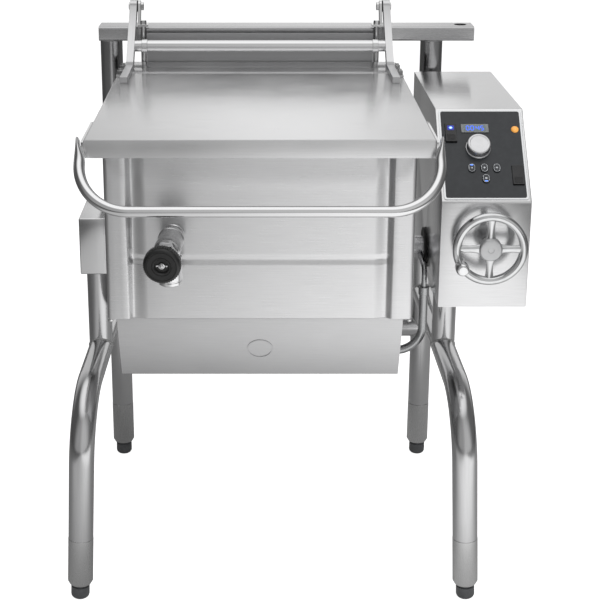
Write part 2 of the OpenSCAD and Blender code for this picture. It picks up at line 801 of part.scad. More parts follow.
// Bearing plates of the worm, hung from a strip along the console's right side
module worm_bearings() color("dimgray") place() for (side = [-1, 1]) {
    y = axis_y + side * (worm_bearing_in + worm_bearing_t / 2);
    difference() {
        block([wheel_x - worm_bearing_w / 2, y - worm_bearing_t / 2, wheel_z - worm_bearing_drop],
            [console_x1 - sheet_t - seat, y + worm_bearing_t / 2, wheel_z + worm_bearing_w / 2]);
        rod_y(y - worm_bearing_t, y + worm_bearing_t, wheel_x, wheel_z, worm_shaft_d + 2 * running);
    }
}

module handwheel() color("lightgray") place() translate([wheel_x, wheel_y, wheel_z]) rotate([90, 0, 0]) {
    rim_r = (wheel_d - wheel_rim_d) / 2;
    rotate_extrude($fn = 72) translate([rim_r, 0]) circle(d = wheel_rim_d, $fn = 32);
    cylinder(d = hub_d, h = hub_len, center = true);
    for (a = [0:90:270]) rotate(a) translate([0, -spoke_w / 2, -spoke_t / 2])
        cube([rim_r, spoke_w, spoke_t]);
}

// Places a piece on the rim where the crank pin stands, local Z pointing to the front
module on_rim() translate([wheel_x, wheel_y, wheel_z]) rotate([90, 0, 0]) rotate(crank_angle)
    translate([(wheel_d - wheel_rim_d) / 2, 0, wheel_rim_d / 2]) children();

module crank_pin() color("silver") place() on_rim() {
    cylinder(d = crank_pin_d, h = crank_knob_len + 2 * seat + crank_pin_d / 4);
    translate([0, 0, crank_knob_len + 2 * seat]) cylinder(d = 2 * crank_pin_d, h = crank_pin_d / 4);
}

// Radius of the crank's knob, from its ends at 0 to its swell at 90
function crank_knob_r(a) = crank_end_d / 2 + (crank_knob_d - crank_end_d) / 2 * sin(a);

module crank_knob() color("silver") place() on_rim() translate([0, 0, seat]) difference() {
    rotate_extrude() polygon([
        [0, 0],
        for (a = [0:15:90]) [crank_knob_r(a), crank_knob_len * crank_swell_share * (1 - cos(a))],
        for (a = [75:-15:0]) [crank_knob_r(a), crank_knob_len * (1 - crank_round_share * (1 - cos(a)))],
        [0, crank_knob_len]
    ]);
    translate([0, 0, -cut]) cylinder(d = crank_pin_d + 2 * running, h = crank_knob_len + 2 * cut);
}

// Plan of the pan, its rim or its casing
module plan(hw, y0, y1, r) round_rect([-hw, y0], [hw, y1], r);

module pan_tank() color("lightgray") place() difference() {
    union() {
        translate([0, 0, tank_bottom_z]) linear_extrude(rim_z - tank_bottom_z)
            plan(tank_hw, tank_y0, tank_y1, corner_r + pan_wall);
        translate([0, 0, rim_z - rim_drop]) linear_extrude(rim_drop)
            plan(casing_hw + rim_reach, casing_y0 - rim_front, casing_y1 + rim_rear, casing_edge_r);
    }
    // Hollow of the pan, with round corners
    translate([0, 0, tank_floor_z]) linear_extrude(pan_depth + cut)
        plan(tank_hw - pan_wall, tank_y0 + pan_wall, tank_y1 - pan_wall, corner_r);
    // Underside of the rim flange
    difference() {
        translate([0, 0, rim_z - rim_drop - cut]) linear_extrude(rim_drop - pan_wall + cut)
            plan(casing_hw + rim_reach - pan_wall, casing_y0 - rim_front + pan_wall,
                casing_y1 + rim_rear - pan_wall, casing_edge_r - pan_wall);
        translate([0, 0, tank_bottom_z]) linear_extrude(rim_z - tank_bottom_z)
            plan(tank_hw, tank_y0, tank_y1, corner_r + pan_wall);
    }
    at_valve() rod_y(0, 2 * jacket, 0, 0, nipple_d + 2 * seat);
}

// Valve line: local Y runs out of the wall, with zero on the casing's front panel
module at_valve() translate([-valve_x, casing_y0 + panel_inset, valve_z])
    rotate([valve_tilt, 0, -valve_yaw]) children();

module heating_plate() color("dimgray") place()
    block([-tank_hw + plate_margin, tank_y0 + plate_margin, plate_z0],
        [tank_hw - plate_margin, tank_y1 - plate_margin, plate_z0 + plate_t]);

module heater_elements() color("brown") place() for (i = [0:element_count - 1]) {
    x = (i - (element_count - 1) / 2) * element_pitch;
    rod_y((tank_y0 + tank_y1 - element_len) / 2, (tank_y0 + tank_y1 + element_len) / 2, x,
        plate_z0 - element_d / 2 - seat, element_d);
}

module insulation() color("khaki") place() difference() {
    block([-tank_hw + plate_margin, tank_y0 + plate_margin, insul_z0],
        [tank_hw - plate_margin, tank_y1 - plate_margin, insul_z0 + insul_t]);
    for (side = [-1, 1]) block(
        [side * cradle_x - cradle_t / 2 - pass, axis_y - cradle_w / 2 - pass, insul_z0 - cut],
        [side * cradle_x + cradle_t / 2 + pass, axis_y + cradle_w / 2 + pass, insul_z0 + insul_t + cut]);
}

// Plates that carry the heating plate on the trunnion shaft
module pan_cradle() color("gray") place() for (side = [-1, 1]) difference() {
    across(side * cradle_x - cradle_t / 2, side * cradle_x + cradle_t / 2) {
        translate([axis_y - cradle_w / 2, axis_z]) square([cradle_w, plate_z0 - seat - axis_z]);
        translate([axis_y, axis_z]) circle(d = shaft_d + 2 * bearing_wall);
    }
    rod_x(side * cradle_x - cradle_t, side * cradle_x + cradle_t, axis_y, axis_z, shaft_d + 2 * running);
}

// Casing: an open box of sheet, its front panel set back between the two corner strips
module pan_casing() color("silver") place() difference() {
    translate([0, 0, casing_bottom_z]) linear_extrude(casing_top_z - casing_bottom_z) difference() {
        plan(casing_hw, casing_y0, casing_y1, casing_edge_r);
        translate([-casing_hw + strip_w, casing_y0 - cut]) square([casing_w - 2 * strip_w, panel_inset + cut]);
    }
    translate([0, 0, casing_bottom_z - cut])
        linear_extrude(casing_top_z - casing_bottom_z + 2 * cut) difference() {
        plan(casing_hw - casing_t, casing_y0 + casing_t, casing_y1 - casing_t, casing_edge_r - casing_t);
        translate([-casing_hw + strip_w - casing_t, casing_y0])
            square([casing_w - 2 * strip_w + 2 * casing_t, panel_inset + casing_t]);
    }
    rod_x(-casing_w, casing_w, axis_y, axis_z, shaft_d + 2 * pass);
    at_valve() rod_y(-jacket, jacket, 0, 0, nipple_d + 2 * seat);
}

// Side outline of the heater box, drawn in by a margin
module heater_box_side(m) polygon([
    [box_y0 + m, box_top_z + m], [box_y0 + m, box_top_z - box_step],
    [box_y0 + heater_box_lean + m, box_bottom_z + m],
    [box_y1 - heater_box_lean - m, box_bottom_z + m],
    [box_y1 - m, box_top_z - box_step], [box_y1 - m, box_top_z + m]
]);

module heater_box() color("silver") place() {
    difference() {
        across(-box_hw, box_hw) intersection() {
            heater_box_side(0);
            translate([box_y0, box_bottom_z]) square([box_y1 - box_y0, box_top_z - box_bottom_z]);
        }
        across(-box_hw + casing_t, box_hw - casing_t) heater_box_side(casing_t);
        rod_x(-casing_w, casing_w, axis_y, axis_z, shaft_d + 2 * pass);
        rod_z(box_bottom_z - cut, box_bottom_z + 2 * casing_t, conduit_in_x, conduit_y, conduit_d + 2 * seat);
    }
    // Raised ring of the knock-out in the sloping front
    lean = atan2(heater_box_lean, heater_box_h - box_step);
    drop = (heater_box_h - box_step) * knockout_share;
    translate([0, box_y0 + drop * tan(lean), box_top_z - box_step - drop]) rotate([90 + lean, 0, 0])
        difference() {
            cylinder(d = knockout_d, h = knockout_h);
            translate([0, 0, -cut]) cylinder(d = knockout_d - 2 * knockout_w, h = knockout_h + 2 * cut);
        }
}

module casing_screws() color("white") place()
    for (side = [-1, 1], y = [casing_y0 + box_step / 2, casing_y1 - box_step / 2])
        rod_z(casing_bottom_z - screw_head_h - seat, casing_bottom_z - seat,
            side * (casing_hw - screw_head_d / 2), y, screw_head_d);

module trunnion_shaft() color("gray") place() difference() {
    rod_x(shaft_x0, shaft_x1, axis_y, axis_z, shaft_d);
    rod_x(shaft_x0 - cut, shaft_x1 + cut, axis_y, axis_z, shaft_d - 2 * shaft_wall);
}

// Conduit from the trunnion to the heater box's underside, in the gap beside the console
module conduit() color("gray") place() {
    // Thin pipe: forward from the shaft, then down
    pipe_z = axis_z - shaft_d / 4;
    difference() {
        rod_y(conduit_y + elbow_r, axis_y, conduit_x, pipe_z, conduit_pipe_d);
        rod_x(conduit_x - conduit_d, conduit_x + conduit_d, axis_y, axis_z, shaft_d + 2 * seat);
    }
    translate([conduit_x, conduit_y + elbow_r, pipe_z - elbow_r]) rotate([90, 0, -90])
        rotate_extrude(angle = 90) translate([elbow_r, 0]) circle(d = conduit_pipe_d);
    rod_z(conduit_pipe_z, pipe_z - elbow_r, conduit_x, conduit_y, conduit_pipe_d);
    rod_z(conduit_pipe_z - conduit_nut_h, conduit_pipe_z, conduit_x, conduit_y, conduit_nut_d);
    // Wide conduit: down, inward under the box and up into it
    rod_z(conduit_low_z + conduit_bend_r, conduit_pipe_z - conduit_nut_h, conduit_x, conduit_y, conduit_d);
    translate([conduit_x - conduit_bend_r, conduit_y, conduit_low_z + conduit_bend_r]) rotate([90, 0, 0])
        rotate([0, 0, -90]) rotate_extrude(angle = 90) translate([conduit_bend_r, 0]) circle(d = conduit_d);
    rod_x(conduit_in_x + conduit_rise_r, conduit_x - conduit_bend_r, conduit_y, conduit_low_z, conduit_d);
    translate([conduit_in_x + conduit_rise_r, conduit_y, conduit_low_z + conduit_rise_r]) rotate([90, 0, 0])
        rotate([0, 0, 180]) rotate_extrude(angle = 90) translate([conduit_rise_r, 0]) circle(d = conduit_d);
    rod_z(conduit_low_z + conduit_rise_r, box_bottom_z - seat, conduit_in_x, conduit_y, conduit_d);
}

module drain_nipple() color("silver") place() at_valve() rotate([90, 0, 0]) difference() {
    union() {
        translate([0, 0, panel_inset - jacket - pan_wall])
            cylinder(d = nipple_d, h = jacket + pan_wall - panel_inset + nipple_len);
        translate([0, 0, collar_z]) cylinder(d = collar_d, h = collar_h);
    }
    translate([0, 0, -2 * jacket]) cylinder(d = valve_bore_d, h = 2 * jacket + nipple_len + cut);
}

module valve_body() color("silver") place() at_valve() rotate([90, 0, 0]) {
    translate([0, 0, nipple_len]) difference() {
        union() {
            cylinder(d = valve_body_d, h = valve_body_len);
            translate([0, 0, valve_body_len]) linear_extrude(bonnet_len) hexagon(bonnet_af);
        }
        translate([0, 0, -cut]) cylinder(d = valve_bore_d, h = valve_body_len - bonnet_len);
        translate([0, 0, valve_body_len / 2]) rotate([90, 0, 0]) {
            cylinder(d = valve_bore_d, h = valve_body_d);
            translate([0, 0, valve_body_d / 2 - outlet_wall])
                cylinder(d = outlet_d + 2 * seat, h = valve_body_d);
        }
        cylinder(d = stem_d + 2 * running, h = valve_body_len + bonnet_len + cut);
    }
}

module valve_outlet() color("silver") place() at_valve() rotate([90, 0, 0])
    translate([0, 0, nipple_len + valve_body_len / 2]) rotate([90, 0, 0]) difference() {
        translate([0, 0, valve_body_d / 2 - outlet_wall + seat])
            cylinder(d = outlet_d, h = outlet_drop - valve_body_d / 2);
        cylinder(d = outlet_d - 2 * outlet_wall, h = 2 * outlet_drop);
    }

module valve_stem() color("gray") place() at_valve() rotate([90, 0, 0])
    translate([0, 0, nipple_len + valve_body_len - bonnet_len])
    cylinder(d = stem_d, h = bonnet_len * 2 + stem_len);

module valve_knob() color("black") place() at_valve() rotate([90, 0, 0])
    translate([0, 0, nipple_len + valve_body_len + bonnet_len + stem_len + seat]) {
        difference() {
            union() {
                cylinder(d = valve_knob_d - knob_rib_d, h = valve_knob_h);
                for (i = [0:knob_rib_count - 1]) rotate(i * 360 / knob_rib_count)
                    translate([(valve_knob_d - knob_rib_d) / 2, 0, 0])
                    cylinder(d = knob_rib_d, h = valve_knob_h - knob_rib_d, $fn = 16);
            }
            translate([0, 0, valve_knob_h - knob_dish_h]) cylinder(d = knob_dish_d, h = knob_dish_h + cut);
            translate([0, 0, -cut]) cylinder(d = stem_d + 2 * seat, h = bonnet_len + cut);
        }
        translate([0, 0, valve_knob_h - knob_dish_h]) cylinder(d = knob_hub_d / 2, h = knob_dish_h / 2);
    }

module strainer() color("silver") place()
    translate([-valve_x, tank_y0 + pan_wall, valve_z]) rotate([-90, 0, 0]) difference() {
        translate([0, 0, seat]) cylinder(d = strainer_d, h = strainer_off + strainer_t);
        translate([0, 0, -cut]) cylinder(d = strainer_d - 2 * strainer_t, h = strainer_off + cut);
        for (i = [0:6]) rotate(i * 60) translate([i == 6 ? 0 : strainer_ring_r, 0, 0])
            cylinder(d = strainer_hole_d, h = 2 * strainer_d);
    }

// Ledge on the casing's back with the upright behind the lid, folded back at its ends
module hinge_box() color("silver") place() difference() {
    union() {
        block([-casing_hw, casing_y1 + seat, ledge_z0], [casing_hw, ledge_y1, ledge_z1]);
        block([-upright_hw, upright_y, ledge_z1 - casing_t],
            [upright_hw, upright_y + upright_t, upright_top_z]);
        for (side = [-1, 1]) block(
            [side * upright_hw - (side + 1) / 2 * upright_t, upright_y, ledge_z1 - casing_t],
            [side * upright_hw + (1 - side) / 2 * upright_t, ledge_y1, upright_top_z]);
    }
    block([-casing_hw + casing_t, casing_y1 + 2 * seat + casing_t, ledge_z0 - cut],
        [casing_hw - casing_t, ledge_y1 - casing_t, ledge_z1 - casing_t]);
}

// Hinge plates on their studs, one at each end of the upright
module hinge_plates() color("gainsboro") place() both_sides() {
    x1 = arm_x - arm_t / 2 - washer_t;
    x0 = x1 - hinge_plate_t;
    difference() {
        union() {
            across(x0, x1) {
                translate([hinge_y, hinge_z]) circle(d = hinge_plate_w);
                polygon([
                    [hinge_y - hinge_plate_w / 2, hinge_z], [hinge_y + hinge_plate_w / 2, hinge_z],
                    [stud_y + hinge_plate_w / 2, stud_top_z], [stud_y - hinge_plate_w / 2, stud_top_z]
                ]);
            }
            block([x1 - tab_w, stud_y - hinge_plate_w / 2, stud_top_z],
                [x1, stud_y + hinge_plate_w / 2, stud_top_z + tab_t]);
        }
        rod_x(x0 - cut, x1 + cut, hinge_y, hinge_z, pin_d + 2 * running);
    }
    rod_z(ledge_z1 + seat, stud_top_z, x1 - tab_w / 2, stud_y, stud_d);
    translate([x1 - tab_w / 2 - seat, stud_y, stud_top_z + tab_t]) linear_extrude(stud_nut_h) hexagon(stud_d);
}

module hinge_pins() color("silver") place() both_sides() {
    x1 = arm_x - arm_t / 2 - washer_t - hinge_plate_t;
    rod_x(x1 - seat, arm_x + arm_t / 2, hinge_y, hinge_z, pin_d);
    translate([x1 - pin_head_h - seat, hinge_y, hinge_z]) rotate([0, 90, 0])
        linear_extrude(pin_head_h) hexagon(pin_head_d);
    rod_x(arm_x + arm_t / 2 + seat, arm_x + arm_t / 2 + pin_head_h / 2, hinge_y, hinge_z, pin_head_d);
    rod_x(arm_x + arm_t / 2, arm_x + arm_t / 2 + seat, hinge_y, hinge_z, pin_d);
}

module hinge_washers() color("black") place() both_sides() difference() {
    rod_x(arm_x - arm_t / 2 - washer_t + seat, arm_x - arm_t / 2 - seat, hinge_y, hinge_z, washer_d);
    rod_x(arm_x - arm_t, arm_x, hinge_y, hinge_z, pin_d + 2 * running);
}

// Lid: a flat sheet with edge flanges at the front and sides, open at the back
module lid() color("silver") place() difference() {
    translate([0, 0, lid_top_z - lid_flange_h]) linear_extrude(lid_flange_h) polygon([
        [-lid_hw, lid_y0], [lid_hw, lid_y0], [lid_hw, lid_y1 - lid_corner], [lid_hw - lid_corner, lid_y1],
        [-lid_hw + lid_corner, lid_y1], [-lid_hw, lid_y1 - lid_corner]
    ]);
    block([-lid_hw + lid_t, lid_y0 + lid_t, lid_top_z - lid_flange_h - cut],
        [lid_hw - lid_t, lid_y1 + cut, lid_top_z - lid_t]);
    block([-lid_hw - cut, lid_y1 - flange_end, lid_top_z - lid_flange_h - cut],
        [lid_hw + cut, lid_y1 + cut, lid_top_z - lid_t]);
}

// Handle: straps along the lid's sides, then a bent tube on a slope in front of the lid
module lid_handle() color("silver") place() {
    for (side = [-1, 1]) {
        x = side * (lid_hw + seat + strap_t / 2);
        block([x - strap_t / 2, lid_y0 - handle_d / 2, handle_z - strap_h / 2],
            [x + strap_t / 2, lid_y0 + strap_len, handle_z + strap_h / 2]);
    }
    translate([0, lid_y0 - handle_d / 2, handle_z]) rotate([handle_slope, 0, 0]) {
        run_x = handle_x - handle_r;
        rod_x(-run_x, run_x, -handle_reach, 0, handle_d);
        both_sides() {
            rod_y(-handle_leg, 0, handle_x, 0, handle_d);
            translate([run_x, -handle_leg, 0]) rotate([0, 0, -90]) rotate_extrude(angle = 90)
                translate([handle_r, 0]) circle(d = handle_d);
        }
    }
}

// Arms: a foot on the lid, then a bar that rises back to the hinge pin
module lid_arms() color("gainsboro") place() both_sides() difference() {
    union() {
        across(arm_x - arm_t / 2, arm_x + arm_t / 2) {
            translate([arm_foot_y0, lid_top_z + seat]) square([arm_foot_y1 - arm_foot_y0, arm_foot_h]);
            translate([arm_low_y, arm_low_z]) {
                circle(d = arm_h);
                rotate(arm_rise) translate([0, -arm_h / 2])
                    square([norm([hinge_y - arm_low_y, hinge_z - arm_low_z]), arm_h]);
            }
            translate([hinge_y, hinge_z]) circle(r = arm_end_r);
        }
        block([arm_x, arm_tab_y0, lid_top_z + seat],
            [arm_x + arm_t / 2 + arm_tab_w, arm_foot_y1, lid_top_z + seat + arm_tab_t]);
    }
    rod_x(arm_x - arm_t, arm_x + arm_t, hinge_y, hinge_z, pin_d + 2 * running);
    rod_x(arm_x - arm_t, arm_x, tie_y, tie_z, tie_d + 2 * seat);
    for (y = lid_bolt_ys)
        rod_z(lid_top_z, lid_top_z + arm_h, arm_x + (arm_t + arm_tab_w) / 2, y, lid_bolt_d + 2 * seat);
}

module tie_tube() color("white") place() {
    difference() {
        rod_x(-arm_x, arm_x, tie_y, tie_z, tie_d);
        rod_x(-arm_x - cut, arm_x + cut, tie_y, tie_z, tie_d - 2 * tube_wall);
    }
    both_sides() difference() {
        rod_x(arm_x - 3 * arm_t / 2 - tie_collar_w, arm_x - 3 * arm_t / 2, tie_y, tie_z, tie_collar_d);
        rod_x(0, arm_x, tie_y, tie_z, tie_d - tube_wall);
    }
}

module lid_bolts() color("silver") place() both_sides() for (y = lid_bolt_ys) {
    x = arm_x + (arm_t + arm_tab_w) / 2;
    rod_z(lid_top_z + seat, lid_top_z + seat + arm_tab_t + lid_nut_h + lid_bolt_d / 2, x, y, lid_bolt_d);
    translate([x, y, lid_top_z + 2 * seat + arm_tab_t]) rotate(30) linear_extrude(lid_nut_h) hexagon(lid_nut_d);
}

rear_posts();
front_leg_left();
front_leg_right();
trunnion_posts();
rear_crossbar();
rear_stretcher();
leg_ferrules();
foot_front_left();
foot_front_right();
foot_rear_left();
foot_rear_right();
left_housing();
trunnion_bearings();
shaft_seals();
console_shell();
console_back();
console_base();
control_panel();
panel_overlay();
display_window();
amber_lamp();
control_board();
worm_bearings();
power_switch();
tilt_switch();
control_knob();
button_left();
button_middle();
button_right();
button_lower();
handwheel();
worm_shaft();
crank_pin();
crank_knob();
pan_tank();
heating_plate();
heater_elements();
insulation();
pan_cradle();
pan_casing();
heater_box();
casing_screws();
trunnion_shaft();
worm_gear();
drain_nipple();
valve_body();
valve_outlet();
strainer();
hinge_box();
hinge_plates();
conduit();
valve_stem();
valve_knob();
lid();
lid_handle();
lid_arms();
tie_tube();
lid_bolts();
hinge_pins();
hinge_washers();
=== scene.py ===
"""Looks of a tilting bratt pan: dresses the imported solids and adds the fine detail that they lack.

Every size is given in millimetres in the maker's own axes: X from the middle of the pan to the
right, Y from the front feet to the back, Z up from the floor. Space turns them into the frame.
"""
from __future__ import annotations

import json
import logging
import math
from contextlib import contextmanager
from dataclasses import dataclass, field
from enum import Enum
from functools import reduce
from typing import Callable, Iterable, Iterator, Sequence

import bmesh
import bpy
from mathutils import Matrix, Vector

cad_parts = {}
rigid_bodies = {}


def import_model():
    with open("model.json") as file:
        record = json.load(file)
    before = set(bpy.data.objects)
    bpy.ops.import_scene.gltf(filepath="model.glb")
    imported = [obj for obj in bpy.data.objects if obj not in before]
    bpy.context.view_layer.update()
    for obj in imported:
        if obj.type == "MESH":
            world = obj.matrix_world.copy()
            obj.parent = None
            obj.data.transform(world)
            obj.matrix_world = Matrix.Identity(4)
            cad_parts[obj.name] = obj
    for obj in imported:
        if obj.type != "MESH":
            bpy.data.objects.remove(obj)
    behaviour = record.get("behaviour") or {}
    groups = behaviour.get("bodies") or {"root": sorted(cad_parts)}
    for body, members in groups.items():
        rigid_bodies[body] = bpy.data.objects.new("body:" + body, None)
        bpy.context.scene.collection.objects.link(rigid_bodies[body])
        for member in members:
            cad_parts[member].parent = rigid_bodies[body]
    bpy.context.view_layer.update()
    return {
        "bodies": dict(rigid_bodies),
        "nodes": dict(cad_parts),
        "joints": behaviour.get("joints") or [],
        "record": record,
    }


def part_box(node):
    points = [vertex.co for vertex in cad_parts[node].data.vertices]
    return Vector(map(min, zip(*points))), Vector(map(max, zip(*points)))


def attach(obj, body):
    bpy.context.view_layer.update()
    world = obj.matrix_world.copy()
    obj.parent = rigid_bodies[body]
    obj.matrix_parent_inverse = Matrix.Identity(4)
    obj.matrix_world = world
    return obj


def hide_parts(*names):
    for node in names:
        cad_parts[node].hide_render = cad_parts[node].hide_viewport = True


log = logging.getLogger("bratt_pan")
GRAIN = "grain"
SAME_POINT = 1e-6  # points of a solid's mesh nearer than this are one, in metres
SAME_SPOT = 1e-4  # points of a new mesh nearer than this are one, in millimetres
SAME_LEVEL = 1e-5  # a point this near a plane lies in it, in metres
SAME_FACE = 0.4  # faces that turn less than this are one, in degrees
END_ON = 0.3  # a face that the grain meets more squarely than this takes its spare direction
Pair = tuple[float, float]
Triple = tuple[float, float, float]
Colour = Triple
Limits = tuple[float, float, float, float]
Socket = bpy.types.NodeSocket


class Space:
    """The step from the maker's millimetres to the frame's metres."""

    scale = 0.001
    shift = Vector((0.0, 0.0, 0.0))
    lid_front = -150.0

    @classmethod
    def find(cls) -> None:
        """Find the shift from the lid, which is centred on X 0 with its front edge at a known Y."""
        low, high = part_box("lid")
        cls.shift = Vector(((low.x + high.x) / 2, low.y - cls.lid_front * cls.scale, 0.0))

    @classmethod
    def at(cls, x: float, y: float, z: float) -> Vector:
        """Give the place in the frame of a point in the maker's millimetres."""
        return Vector((x, y, z)) * cls.scale + cls.shift

    @classmethod
    def step(cls) -> Matrix:
        """Give the matrix that takes a mesh in millimetres into the frame."""
        return Matrix.Translation(cls.shift) @ Matrix.Scale(cls.scale, 4)


def mm(length: float) -> float:
    """Give a length in millimetres as metres."""
    return length * Space.scale


class Along(Enum):
    """The direction that a surface was brushed or drawn in."""

    X = (1.0, 0.0, 0.0)
    Y = (0.0, 1.0, 0.0)
    Z = (0.0, 0.0, 1.0)


class Sums:
    """A node tree with a short call for each kind of node and each small sum."""

    def __init__(self, tree: bpy.types.NodeTree) -> None:
        """Empty a tree and keep it."""
        self.tree = tree
        tree.nodes.clear()

    def add(self, kind: str) -> bpy.types.Node:
        """Add a node of a kind."""
        return self.tree.nodes.new(kind)

    def link(self, source: Socket, target: Socket) -> None:
        """Join an output to an input."""
        self.tree.links.new(source, target)

    def ramp(self, value: Socket, start: float, end: float, low: float, high: float, soft: bool = True) -> Socket:
        """Spread a value over new limits, held at both ends.

        Args:
            value: the value.
            start: value that gives the low limit.
            end: value that gives the high limit.
            low: the low limit.
            high: the high limit.
            soft: ease in and out instead of a straight line.

        Returns:
            The new value.
        """
        node = self.add("ShaderNodeMapRange")
        node.interpolation_type = "SMOOTHSTEP" if soft else "LINEAR"
        for label, number in zip(("From Min", "From Max", "To Min", "To Max"), (start, end, low, high)):
            node.inputs[label].default_value = number
        self.link(value, node.inputs["Value"])
        return node.outputs["Result"]

    def join(self, kind: str, first: Socket, second: Socket) -> Socket:
        """Join two values by a sum of a kind and return the result."""
        node = self.add("ShaderNodeMath")
        node.operation = kind
        self.link(first, node.inputs[0])
        self.link(second, node.inputs[1])
        return node.outputs[0]

    def choose(self, fac: Socket, first: Socket, second: Socket) -> Socket:
        """Go from one shader to another by a factor."""
        node = self.add("ShaderNodeMixShader")
        for n, source in enumerate((fac, first, second)):
            self.link(source, node.inputs[n])
        return node.outputs[0]


class Nodes(Sums):
    """A material's node tree, with a shader and an output."""

    every_way: Triple = (1.0, 1.0, 1.0)

    def __init__(self, name: str) -> None:
        """Make a material with nothing but a shader and an output.

        Args:
            name: the material's name.
        """
        self.material = bpy.data.materials.new(name)
        self.material.use_nodes = True
        super().__init__(self.material.node_tree)
        self.shader = self.add("ShaderNodeBsdfPrincipled")
        self.output = self.add("ShaderNodeOutputMaterial")
        self.link(self.shader.outputs["BSDF"], self.output.inputs["Surface"])

    def coords(self, scale: Triple = every_way, on_grain: bool = False) -> Socket:
        """Give the object's coordinates, or its grain map, scaled.

        Args:
            scale: factor on each axis.
            on_grain: read the piece's own grain map.

        Returns:
            The mapped vector.
        """
        place = self.add("ShaderNodeUVMap" if on_grain else "ShaderNodeTexCoord")
        if on_grain:
            place.uv_map = GRAIN
        mapping = self.add("ShaderNodeMapping")
        mapping.inputs["Scale"].default_value = scale
        self.link(place.outputs["UV" if on_grain else "Object"], mapping.inputs["Vector"])
        return mapping.outputs["Vector"]

    def noise(self, vector: Socket, scale: float, detail: float = 4.0, roughness: float = 0.55) -> Socket:
        """Give a noise value between 0 and 1.

        Args:
            vector: where to read it.
            scale: how fine it is, per metre.
            detail: number of octaves.
            roughness: strength of the finer octaves.

        Returns:
            The noise's value.
        """
        node = self.add("ShaderNodeTexNoise")
        for label, number in (("Scale", scale), ("Detail", detail), ("Roughness", roughness)):
            node.inputs[label].default_value = number
        self.link(vector, node.inputs["Vector"])
        return node.outputs["Fac"]

    def spread(self, value: Socket, low: float, high: float, start: float = 0.3, end: float = 0.7) -> Socket:
        """Spread a noise's middle range, from start to end, evenly over new limits."""
        return self.ramp(value, start, end, low, high, False)

    def mix(self, fac: Socket, first: Colour | Socket, second: Colour) -> Socket:
        """Mix a colour, or a socket's colour, with a second one by a factor."""
        node = self.add("ShaderNodeMix")
        node.data_type = "RGBA"
        if isinstance(first, tuple):
            node.inputs[6].default_value = (*first, 1.0)
        else:
            self.link(first, node.inputs[6])
        node.inputs[7].default_value = (*second, 1.0)
        self.link(fac, node.inputs[0])
        return node.outputs[2]

    def bump(self, height: Socket, depth: float) -> None:
        """Raise the shader's surface by a height from 0 to 1, where 1 stands for a depth in metres."""
        node = self.add("ShaderNodeBump")
        node.inputs["Strength"].default_value = 1.0
        node.inputs["Distance"].default_value = depth
        self.link(height, node.inputs["Height"])
        self.put("Normal", node.outputs["Normal"])

    def put(self, name: str, value: Socket | Colour | float) -> None:
        """Set a shader input to a socket, a number or a colour."""
        target = self.shader.inputs[name]
        if isinstance(value, Socket):
            self.link(value, target)
        else:
            target.default_value = (*value, 1.0) if isinstance(value, tuple) else value


def dimmed(colour: Colour, factor: float, lift: float = 0.0) -> Colour:
    """Give a colour times a factor, with a lift, held below white."""
    return tuple(min(1.0, channel * factor + lift) for channel in colour)


@dataclass(frozen=True)
class Steel:
    """Stainless steel brushed or drawn along its grain map, with faint handling marks."""

    name: str
    slot: str
    colour: Colour = (0.66, 0.66, 0.665)
    gloss: Pair = (0.26, 0.34)
    spread: float = 0.6
    grain: float = 700.0
    depth: float = 0.000006
    smudge: float = 0.04
    stretch: Triple = (0.02, 1.0, 1.0)
    cloud_size: float = 6.0
    cloud_gloss: Pair = (-0.02, 0.03)
    streak: Limits = (0.0, 0.5, 0.4, 0.75)
    streak_shade: float = 0.9
    quarter_turn: float = 0.25

    def material(self) -> bpy.types.Material:
        """Build the material."""
        nodes = Nodes(self.name)
        lines = nodes.noise(nodes.coords(self.stretch, True), self.grain, 4.0, 0.65)
        clouds = nodes.noise(nodes.coords(), self.cloud_size, 4.0, 0.6)
        base = nodes.mix(nodes.spread(clouds, 0.0, 1.0), dimmed(self.colour, 1.0 - self.smudge),
                         dimmed(self.colour, 1.0 + self.smudge))
        streaks = nodes.spread(lines, *self.streak)
        nodes.put("Base Color", nodes.mix(streaks, base, dimmed(self.colour, self.streak_shade)))
        nodes.put("Metallic", 1.0)
        nodes.put("Roughness", nodes.join("ADD", nodes.spread(lines, *self.gloss),
                                          nodes.spread(clouds, *self.cloud_gloss)))
        nodes.bump(lines, self.depth)
        if self.spread:
            tangent = nodes.add("ShaderNodeTangent")
            tangent.direction_type, tangent.uv_map = "UV_MAP", GRAIN
            nodes.put("Anisotropic", self.spread)
            nodes.put("Anisotropic Rotation", self.quarter_turn)
            nodes.put("Tangent", tangent.outputs["Tangent"])
        return nodes.material


@dataclass(frozen=True)
class Cast:
    """Cast or sand-blasted metal with a fine pebbled skin."""

    name: str
    slot: str
    colour: Colour
    gloss: Pair = (0.35, 0.55)
    metallic: float = 1.0
    pebble: float = 1400.0
    depth: float = 0.00006
    patch_size: float = 40.0
    patch_shade: float = 0.88

    def material(self) -> bpy.types.Material:
        """Build the material."""
        nodes = Nodes(self.name)
        place = nodes.coords()
        skin = nodes.noise(place, self.pebble, 4.0, 0.6)
        patches = nodes.spread(nodes.noise(place, self.patch_size, 3.0), 0.0, 1.0)
        nodes.put("Base Color", nodes.mix(patches, dimmed(self.colour, self.patch_shade), self.colour))
        nodes.put("Metallic", self.metallic)
        nodes.put("Roughness", nodes.spread(skin, *self.gloss))
        nodes.bump(skin, self.depth)
        return nodes.material


